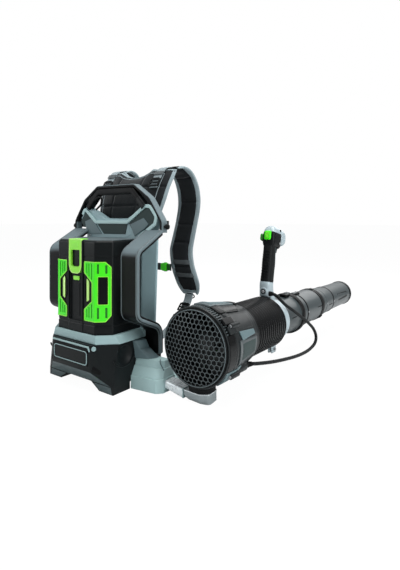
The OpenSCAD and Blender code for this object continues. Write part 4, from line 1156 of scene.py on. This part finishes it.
def make_head():
    head = smooth_path([(116, 36, 44, 1), (122, 41, 52, 5), (131, 43, 60, 8.5), (146, 43.5, 62, 9),
                        (158, 43, 61, 9), (163, 40, 57, 9)], 24)
    # black cheek that holds the trigger in front
    cheek = [(113, 22, 20, 34), (116, 28, 26, 33), (124, 34, 30, 32), (160, 36, 30, 32)]
    stand_in("handle_head", oval_loft(head, 13, "dark"), oval_loft(cheek, 9, "black"),
             *pins(21.8, 26, 128, 4.4, 1, "steel", 24))

    roof = smooth_path([(161, 42.5, 60, 10), (166, 42, 59, 11), (173, 39.5, 55, 12),
                        (179, 32, 47, 12), (182.5, 20, 32, 11), (183, 6, 8, 10)], 24)
    nose = smooth_path([(123, 20, 15, 50), (127, 34, 25, 52), (138, 42.5, 34, 53.5),
                        (152, 43.5, 37, 52.5), (166, 42.5, 38, 48.5), (176, 32, 28, 41),
                        (180, 8, 8, 36)], 26)
    stand_in("head_cap", oval_loft(roof, 14, "pale"), oval_loft(nose, 11, "pale"),
             *pins(20.6, 24, 171, 3.4, 1.6, "black", 20))


def make_controls():
    pill = box(-11.5, 11.5, 134, 164, 6, 6)
    rings = [[(x * s, y, 149 + (z - 149) * s) for x, z in pill]
             for y, s in ((-14, 0.96), (-23.5, 1), (-25.6, 0.96), (-26.8, 0.84), (-27, 0.4))]
    ribs = [block((-7, 7), (-27.8, -26.6), (z, z + 1.8), "lime", GRIP, 0.6)
            for z in (140.5, 144.5, 148.5, 152.5, 156.5)]
    stand_in("turbo_button", smooth(solid(rings, "green", GRIP), 50), *ribs)

    outline = loop([(-24, 132), (8, 129), (17, 137), (17, 149), (8, 157), (-24, 154)], 7)
    rings = [[(x, 4 + (y - 4) * s, 142 + (z - 142) * s) for y, z in outline]
             for x, s in ((-14, 0.8), (-22, 0.9), (-24, 1), (-26.2, 0.97), (-27.2, 0.8))]
    teeth = [block((-28, -26.4), (y, y + 2), (135, 151), "green", GRIP, 0.6)
             for y in (-21, -17, -13, -9)]
    stand_in("cruise_lever", smooth(solid(rings, "deep_green", GRIP), 50), *teeth)


def make_handle_base():
    levels = smooth_path([(-0.5, 36, 42, 0, 15), (-8, 36.5, 43, 0, 14), (-24, 35, 44, 3, 12),
                          (-40, 34, 50, 10, 9), (-54, 34, 56, 18, 6), (-70, 34, 58, 22, 4)], 18)
    base = solid([oval_ring(w, d, r, y, z) for z, w, d, y, r in levels], "pale", GRIP)
    # seats on the clamp ring and over the bellows' end
    for radius, low, high in ((68.4, 230, 400), (81, 90, 290)):
        carve(base, lathe([(0, low), (radius, low), (radius, high), (0, high)], "pale"))
    smooth(base, 32)
    face = shift(FAN_X, 277, 236)
    boss = lathe([(0, -3), (12, -3), (13.4, -1.5), (13.4, 12), (0, 12)], "pale", face, 40)
    socket = lathe([(0, -3.5), (8.6, -3.5), (9, -3), (9, -1), (0, -1)], "black", face, 32)
    bolt = lathe([(0, -5.4), (4.6, -5.4), (5.6, -4.4), (5.6, -2), (0, -2)], "steel", face, 6, 20)
    stand_in("handle_base", base, boss, socket, bolt)


make_grip()
make_head()
make_controls()
make_handle_base()

# ---- bracket and swivel arm ----

BASE_SIDE = 139.3


def wedge(points, material, width):
    """Convex moulded form through its corner points."""
    work = bmesh.new()
    for p in points:
        work.verts.new(Vector(p) * MM)
    made = bmesh.ops.convex_hull(work, input=work.verts)
    loose = [g for g in made["geom_interior"] if isinstance(g, bmesh.types.BMVert)]
    bmesh.ops.delete(work, geom=loose, context="VERTS")
    merge_flat(work, 1)
    return rounded(mesh_object(work, material), width, angle=12)


# tiers of the bracket: height of the foot, its two places in Y on the base's side and its free
# corners in X and Y, then the same for the top, then material and edge radius
TIERS = (
    (0, (-30, -107), [(222, -96), (237, -80), (237, -30)],
     38, (-30, -107), [(222, -96), (237, -80), (237, -30)], "bracket", 2.2),
    (61, (-38, -90), [(208, -80.4), (229, -64), (229, -38)],
     81.6, (-40, -85.6), [(204, -77), (226, -61), (226, -40)], "bracket", 2.2),
    (80, (-46, -91), [(183, -79.5), (194, -60), (194, -46)],
     108, (-58, -94), [(158, -88), (168, -58)], "deep_grey", 2.0),
    (106, (-58, -94), [(158, -88), (167, -58)],
     129.8, (-62, -99), [(149, -95.4), (157, -62)], "deep_grey", 1.6),
)


def make_bracket():
    tiers = []
    for row in TIERS:
        levels = row[:3], row[3:6]
        points = [(BASE_SIDE, y, z) for z, side, _ in levels for y in side]
        points += [(x, y, z) for z, _, free in levels for x, y in free]
        tiers.append(wedge(points, *row[6:]))
    step = wedge([
        (BASE_SIDE, -32, 37), (BASE_SIDE, -104.5, 38), (220, -93.6, 38), (234.5, -78.6, 38),
        (234.5, -32, 37), (BASE_SIDE, -37, 62), (BASE_SIDE, -92, 62), (210, -82.5, 62),
        (230.5, -66, 62), (230.5, -37, 62)], "bracket", 2.0)
    bead = tube(smooth_path([(229.4, -70, 58), (226, -74, 68), (219, -73, 78), (213, -66, 83)], 12),
                1.5, "deep_grey")
    foot = block((BASE_SIDE, 237), (-31, 58), (0, 19.7), "bracket", round_by=2.0)
    stand_in("base_bracket", *tiers, step, bead, foot)


def make_arm():
    bar = smooth_path([(237.4, -75, -35, 12, 34), (262, -76, -33, 8, 32), (286, -76, -30, 3, 29),
                       (299, -76, -27, 1.2, 27)], 12)
    bar = [[(x, a, b) for a, b in box(y0, y1, z0, z1, 8, 5)] for x, y0, y1, z0, z1 in bar]
    seam = wedge([(297, -76, 3), (297, -27, 2.4), (297, -27, 27.2), (297, -75.6, 27.2),
                  (300.5, -76.4, 2), (300.5, -26, 2), (300.5, -26, 27.4), (300.5, -76, 27.4)],
                 "light", 0.8)
    # cup round the pivot, from its foot's outline to its rim's
    pivot = Vector((340, -45))
    low = loop([(-36, -20), (14, -26), (38, -21), (33, 19), (12, 34), (-22, 34), (-36, 20)], 14, 8)
    high = loop([(-42, -31), (14, -35), (37, -22), (33, 18), (12, 35), (-22, 35), (-42, 20)], 12, 8)
    rings = [[(*(pivot + a.lerp(b, share) * size), z) for a, b in zip(low, high)]
             for share, size, z in ((0.0, 0.93, 0.3), (0.1, 1, 0.0), (0.35, 1, 3), (0.8, 1, 8),
                                    (1.0, 1, 13), (1.0, 1, 24.6), (0.97, 1, 25.8))]
    rim = tube([(*(pivot + p), 25.4) for p in high], 1.0, "silver", closed=True)
    stand_in("swivel_arm", smooth(solid(bar, "silver")), seam,
             smooth(solid(rings, "cast_grey"), 35), rim)


make_bracket()
make_arm()

# ---- harness: pads swelled by a short cloth simulation, webbing drawn directly ----

# rows of a pad are (x, y, z, half width, half thickness)
STRAP = [
    (110, 89.5, 625, 36, 6.5), (112, 115, 630, 38, 9), (114, 140, 622, 40, 10),
    (117, 160, 602, 40, 10), (119, 174, 572, 41, 10), (120, 181, 540, 41, 10),
    (116, 186, 508, 41, 10), (108, 189, 476, 41, 10), (101, 188, 443, 41, 10),
    (94, 184, 405, 42, 10), (89, 178, 363, 43, 10), (96, 174, 323, 43, 10),
    (105, 174, 292, 44, 10), (116, 177, 259, 43, 10), (128, 180.5, 217, 40, 9)]
YOKE = [
    (0, -6.9, 452, 128, 7), (0, -2.7, 470, 133, 7), (0, -1, 490, 138, 8), (0, 8, 530, 146, 8),
    (0, 22, 566, 148, 8), (0, 42, 598, 148, 8), (0, 62, 622, 144, 7)]
BACK = [
    (0, 2.3, 164, 110, 10), (0, 2.3, 230, 122, 12), (0, 2.3, 300, 126, 12), (0, 2.3, 370, 124, 12),
    (0, 2.3, 440, 112, 10)]
LIFTER = [(22, 562), (39, 592), (63.2, 622), (92, 630)]
LOWER = [(21, 104), (70, 121), (132, 158), (168, 196), (178, 225)]
# the back panel's front, which no pad may pass
PAD_FLOOR = -9.8
PRESSURE, FRAMES = 4.0, 20


def swell(piece, cap, voxel):
    """Fills a slim pad as its cover would be, by a short cloth simulation with a capped travel."""
    remesh = piece.modifiers.new("remesh", "REMESH")
    remesh.mode = "VOXEL"
    remesh.voxel_size = voxel
    bake(piece)
    sheet = piece.modifiers.new("cloth", "CLOTH")
    sheet.settings.quality = 5
    sheet.settings.use_pressure = True
    sheet.settings.uniform_pressure_force = PRESSURE
    sheet.settings.effector_weights.gravity = 0
    sheet.point_cache.frame_start = 1
    sheet.point_cache.frame_end = FRAMES
    for time in range(1, FRAMES + 1):
        bpy.context.scene.frame_set(time)
    graph = bpy.context.evaluated_depsgraph_get()
    moved = [v.co.copy() for v in piece.evaluated_get(graph).data.vertices]
    piece.modifiers.remove(sheet)
    for v, end in zip(piece.data.vertices, moved):
        travel = end - v.co
        v.co += travel * min(1, cap * MM / max(travel.length, 1e-9))
    bpy.context.scene.frame_set(1)


def groove(distance, depth, width):
    return depth * math.exp(-((distance / width) ** 2))


def stay_in_front(obj, floor):
    for v in obj.data.vertices:
        v.co.y = max(v.co.y, floor * MM)


def power(value, exponent):
    return math.copysign(abs(value) ** exponent, value)


class Pad:
    """Padded strip: crowned sections with drawn-in edges, along a smooth path."""

    def __init__(self, path, steps, sides, twist=0.0, bow=0.0, dip=0.0, round_end=0.0):
        self.rows = smooth_path(path, steps)
        self.middles = [Vector(row[:3]) for row in self.rows]
        self.steps, self.sides = steps, sides
        self.bow, self.dip, self.round_end = bow, dip, round_end
        angle = math.radians(twist)
        self.side = Vector((math.cos(angle), math.sin(angle), 0))
        gaps = ((b - a).length for a, b in zip(self.middles, self.middles[1:]))
        self.lengths = [0.0, *accumulate(gaps)]

    def normal(self, i):
        along = self.middles[min(i + 1, self.steps)] - self.middles[max(i - 1, 0)]
        return self.side.cross(along).normalized()

    def bowed(self, x):
        """How far the pad's sides bend forward at a distance from its middle."""
        return self.bow * (x / 140) ** 2

    def bent(self, point, i):
        """The point moved by the bow, and by the dip of the neck at the pad's top."""
        point = point.copy()
        point.y += self.bowed(point.x)
        lowered = self.dip * max(0, 2 * i / self.steps - 1) ** 2
        point.z -= lowered * max(0, 1 - abs(point.x / 66) ** 3)
        return point

    def ring(self, i, thin=1.0, slim=0.0):
        row, u = self.rows[i], i / self.steps
        end = min(1, 0.35 + 6 * min(u, 1 - u))
        tip = 1 - self.round_end * max(0, 1 - (1 - u) * 14) ** 2
        full = 0.8 if thin == 1.0 else 0.62
        out = []
        for k in range(self.sides):
            a = 2 * math.pi * (k + 0.5) / self.sides
            point = self.middles[i] + self.side * (row[3] * tip - slim) * power(math.cos(a), 0.75)
            point += self.normal(i) * row[4] * end * thin * power(math.sin(a), full)
            out.append(self.bent(point, i))
        return out

    def filled(self, thin, slim, cap, seams, floor=None, voxel=0.005):
        """The pad, made slim and swelled by the simulation, with its sewn channels."""
        rings = [self.ring(i, thin, slim) for i in range(self.steps + 1)]
        piece = solid(rings, "pad")
        swell(piece, cap, voxel)
        divide = piece.modifiers.new("divide", "SUBSURF")
        divide.levels = divide.render_levels = 1
        bake(piece)
        self.sew(piece, seams)
        if floor is not None:
            stay_in_front(piece, floor)
        piece.data.shade_smooth()
        return piece

    def cross_seams(self, length, shares, depth, width):
        return max(groove(length - share * self.lengths[-1], depth, width) for share in shares)

    def sew(self, piece, seams):
        """Draws sewn channels into both faces; seams gives a depth at (length, across, share)."""
        tree = KDTree(self.steps + 1)
        for i, middle in enumerate(self.middles):
            tree.insert(self.bent(middle, i), i)
        tree.balance()
        for v in piece.data.vertices:
            point = v.co / MM
            bow = self.bowed(point.x)
            level = Vector((0 if self.bow else point.x, point.y - bow, point.z))
            i = tree.find(level)[1]
            off = point - self.middles[i]
            off.y -= bow
            across, normal = off.dot(self.side), self.normal(i)
            along = normal.cross(self.side).normalized()
            depth = seams(self.lengths[i] + off.dot(along), across, across / self.rows[i][3])
            height = off.dot(normal)
            v.co -= normal * math.copysign(min(depth, 0.7 * abs(height)), height) * MM

    def tape(self, pad, rows, lift, thick, places=None, material="binding"):
        """Flat tape laid on the pad over these rings, at places round them or all the way round."""
        around = places is None
        places = range(self.sides) if around else places
        work = bmesh.new()
        grid = []
        for i in rows:
            ring, line = self.ring(i), []
            for j, k in enumerate(places):
                drawn = ring[k % self.sides] * MM
                _, at, normal, _ = pad.closest_point_on_mesh(drawn)
                own = 0 if around else math.sin(math.pi * j / (len(places) - 1)) ** 0.5
                line.append(work.verts.new((at + normal * lift * MM).lerp(drawn, own)))
            grid.append(line)
        for a, b in zip(grid, grid[1:]):
            for j in range(len(a) if around else len(a) - 1):
                m = (j + 1) % len(a)
                work.faces.new((a[j], a[m], b[m], b[j]))
        piece = mesh_object(work, material)
        piece.modifiers.new("relax", "SMOOTH").iterations = 2
        cover = piece.modifiers.new("cover", "SOLIDIFY")
        cover.thickness = thick * MM
        cover.offset = 0
        bake(piece)
        piece.data.shade_smooth()
        piece.data.set_sharp_from_angle(angle=math.radians(50))
        return piece

    def edge_tapes(self, pad, half, lift, thick):
        return [self.tape(pad, range(self.steps + 1), lift, thick, range(k - half, k + half))
                for k in (0, self.sides // 2)]

    def piping(self, pad, places):
        """Thin cord along places (ring, share across, face) on the pad."""
        path = []
        for i, share, face in places:
            row = self.rows[i]
            point = self.middles[i] + self.side * row[3] * share + self.normal(i) * row[4] * face
            _, at, normal, _ = pad.closest_point_on_mesh(self.bent(point, i) * MM)
            path.append(at / MM + normal * 0.3)
        return tube(path, 1.4, "webbing")


def make_straps():
    form = Pad(STRAP, 96, 40, twist=10, round_end=0.4)

    def seams(length, across, share):
        return max(form.cross_seams(length, (0.17, 0.34, 0.5, 0.63, 0.8), 4.5, 4.5),
                   groove(abs(across) - 29, 1.6, 2.5))

    pad = form.filled(0.55, 1.5, 5.0, seams)
    parts = [pad, *form.edge_tapes(pad, 6, 0.7, 1.3),
             form.tape(pad, range(form.steps - 3, form.steps + 1), 0.9, 1.6)]
    for low in (0.775, 0.865):
        first = round(low * form.steps)
        parts.append(form.tape(pad, range(first, first + 4), 1.7, 1.5, material="dark_webbing"))
    # ring that joins the strap to the lower webbing
    ring = [(126 + 18 * x, 178 + 2 * z, 213 - 8 * z) for x, _, z in
            (polar(1, 0, 9 * k) for k in range(40))]
    parts.append(tube(ring, 1.9, "dark", 12, closed=True))
    for piece, node in zip(pair(joined(*parts)), ("shoulder_strap_right", "shoulder_strap_left")):
        stand_in(node, piece)


def make_yoke():
    form = Pad(YOKE, 56, 56, bow=26, dip=26)

    def seams(length, across, share):
        return max(form.cross_seams(length, (0.3, 0.62), 3.0, 4.0),
                   groove(abs(across) - 52, 2.6, 4.0), groove(abs(across) - 118, 1.6, 3.0))

    pad = form.filled(0.7, 1.0, 2.5, seams, PAD_FLOOR, 0.0035)
    parts = [pad, *form.edge_tapes(pad, 4, 0.6, 1.3),
             form.tape(pad, range(form.steps - 4, form.steps + 1), 1.2, 2.4)]
    # rolled edge of the neck
    across = range(-20, 21)
    rim = [form.bent(form.middles[-1] + form.side * (4 * k), form.steps) for k in across]
    widths = [2.2 + 3.6 * min(1, (20 - abs(k)) / 6) for k in across]
    parts.append(tube(rim, widths, "binding", 14))
    top = form.steps - 7
    for face in (-1, 1):
        up = [(i, -0.8, face) for i in range(6, top)]
        over = [(top, s / 20, face) for s in range(-16, 17)]
        down = [(i, 0.8, face) for i in range(top - 1, 5, -1)]
        parts.append(form.piping(pad, up + over + down))
    stand_in("harness_yoke", *parts)


def make_back_pad():
    form = Pad(BACK, 56, 56)

    def seams(length, across, share):
        return max(form.cross_seams(length, (0.25, 0.5, 0.75), 5.0, 5.0),
                   groove(across, 3.5, 5.0), groove(abs(share) - 0.84, 2.0, 0.03))

    pad = form.filled(0.6, 1.5, 5.0, seams, PAD_FLOOR)
    ends = (range(2), range(form.steps - 1, form.steps + 1))
    piece = stand_in("back_pad", pad, *form.edge_tapes(pad, 3, 0.6, 1.2),
                     *(form.tape(pad, rows, 0.5, 1.2) for rows in ends))
    stay_in_front(piece, PAD_FLOOR - 0.1)


def flat_strap(x, path, material, half=16.0, steps=40, thick=2.0):
    line = smooth_path([(x, y, z) for y, z in path], steps)
    return sweep(line, box(-half, half, 0, thick, 0.8, 3), ALONG_X, material)


def ladder_lock(x, p, q):
    """Slide bar that lies on the webbing between two points in Y and Z."""
    along = Vector((q[0] - p[0], q[1] - p[1])).normalized()
    at = (Vector(p) + Vector(q)) / 2 + Vector((-along.y, along.x)) * 2.05
    lie = shift(x, at.x, at.y) @ Matrix.Rotation(math.atan2(along.y, along.x), 4, "X")
    sides = [((a, a + 4.5), (-14, 14), (0, 5), 1.4) for a in (-20, 15.5)]
    bars = [((-17, 17), (y, y + 5), (0.6, 4.4), 1.3) for y in (-13.5, -2.5, 8.5)]
    return [block(*sizes, "dark", lie, round_by)
            for *sizes, round_by in (*sides, *bars, ((-15, 15), (12, 16.5), (2.6, 5.2), 1.0))]


def make_webbing():
    for node, parts in (
        ("load_lifters", [flat_strap(106, LIFTER, "webbing"),
                          flat_strap(106, [(44, 603.5), (52, 614)], "dark_webbing", 17.2, 6, 3.0)]),
        ("lower_webbings", [flat_strap(124, LOWER, "webbing")]),
        ("strap_buckles", ladder_lock(106, *LIFTER[:2]) + ladder_lock(124, *LOWER[2:4])),
    ):
        stand_in(node, *pair(joined(*parts)))


def make_chest_strap():
    ends = [block(x, (164, 166), (291, 315), "dark_webbing", round_by=0.7)
            for x in ((-56.5, 12.5), (49.5, 56.5))]
    stitching = [block((x, x + 4), (163.5, 166.5), (290.6, 315.4), "black", round_by=0.6)
                 for x in (-44, 0)]
    stand_in("chest_strap", *ends, *stitching)
    shell = loop([(12, 292.5), (20, 289.5), (36.5, 288.4), (36.5, 317.6), (20, 316.5), (12, 313.5)],
                 2.5)
    plug = loop([(37.2, 290.5), (45, 291.5), (50, 293.5), (50, 312.5), (45, 314.5), (37.2, 315.5)],
                2.5)
    tabs = [block((26, 35), (162, 169), (z, z + 3), "deep_green") for z in (287.6, 315.4)]
    marks = [block((x, x + 1.4), (170.4, 171.4), (296, 310), "lime", round_by=0.4)
             for x in (16, 31)]
    stand_in("chest_buckle", rounded(prism(shell, "Y", 160, 171, "green"), 1.6),
             rounded(prism(plug, "Y", 161.5, 169.5, "deep_green"), 1.4), *tabs, *marks)


make_straps()
make_yoke()
make_back_pad()
make_webbing()
make_chest_strap()

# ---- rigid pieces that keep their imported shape, with rounded edges ----

# node, material, edge radius in mm
for node, material, width in (
    ("base_bottom_cover", "dark", 2.0),
    ("nameplate", "dark", 1.2),
    ("trim_bar", "light", 1.2),
    ("battery_ledge", "light", 2.0),
    ("pivot_boot", "rubber", 1.5),
    ("battery_latch_button", "light", 1.0),
    ("housing_screws", "steel", 0.3),
    ("cable_gland", "rubber", 0.5),
    ("clamp_bolt", "steel", 0.3),
    ("trigger", "black", 1.0),
):
    stand_in(node, dressed(node, material, width))

# inner nodes that show as they are, in a better material
for material, nodes in (
    ("black", ("dock_terminals", "battery_terminals")),
    ("board", ("controller_board",)),
    ("cells", ("battery_cells",)),
    ("steel", ("pivot_pin", "fan_motor", "fan_bearings", "rotor_shaft")),
    ("dark", ("stator", "tail_cone")),
    ("blade", ("impeller",)),
):
    for node in nodes:
        NODES[node].data.materials.clear()
        NODES[node].data.materials.append(MATERIALS[material])

# ---- base ----


def facing(corners, lift, material, width, round_by=0.0):
    """Thin panel that lies on a flat face, given by its corners."""
    corners = [Vector(c) for c in corners]
    normal = Vector((0, 0, 0))
    for a, b in zip(corners, corners[1:] + corners[:1]):
        normal += a.cross(b)
    normal.normalize()
    outline = loop(corners, round_by, 5) if round_by else corners
    rings = [[p + normal * h for p in outline] for h in (-2.0, lift)]
    return rounded(solid(rings, material), width, 2, 20)


def make_base():
    # lighter band that slopes from under the name plate to the feet
    band = facing(both_sides([(-83, -199.5, 57), (-129, -171.5, 22)]), 0.9, "slope", 1.0)
    foot = facing([(60, -170, 18.5), (88, -170, 1.5), (134, -170, 1.5), (130, -170, 19)],
                  0.9, "slope", 0.8)
    # black corner facet with a ridge across it
    corner = wedge([(84.5, -199, 60), (137, -152.5, 60), (137.5, -166, 24), (92, -190, 88),
                    (137, -152.5, 92), (88, -199.8, 70), (112, -184, 62), (139.4, -157, 58)],
                   "black", 1.6)
    over = facing([(90, -193, 90), (135, -153.6, 96), (135, -153.6, 124), (90, -193, 124)],
                  1.0, "black", 1.0, 4)
    # curved lip of the finger bowl
    angles = [math.radians(190 + 10 * k) for k in range(17)]
    lip = tube([(139.2, -128 + 40 * math.cos(a), 98 + 30 * math.sin(a)) for a in angles], 2.2,
               "base", 10)
    # outline round the name plate, and a black strip along the panel line over it, painted shade
    front = min(v.co.y for v in NODES["nameplate"].data.vertices) / MM - 0.4
    line = tube([(x, front, z) for x, z in box(-71, 71, 75, 111, 9, 6)], 1.1, "light", closed=True)
    shade = block((-80, 80), (-201, -198), (116, 119.5), "black", round_by=0.8)
    sides = [part for one in (foot, corner, over, lip) for part in pair(one)]
    stand_in("base_housing", dressed("base_housing", "base", 3.0), band, *sides, line, shade)


make_base()
make_stage()
make_lights()
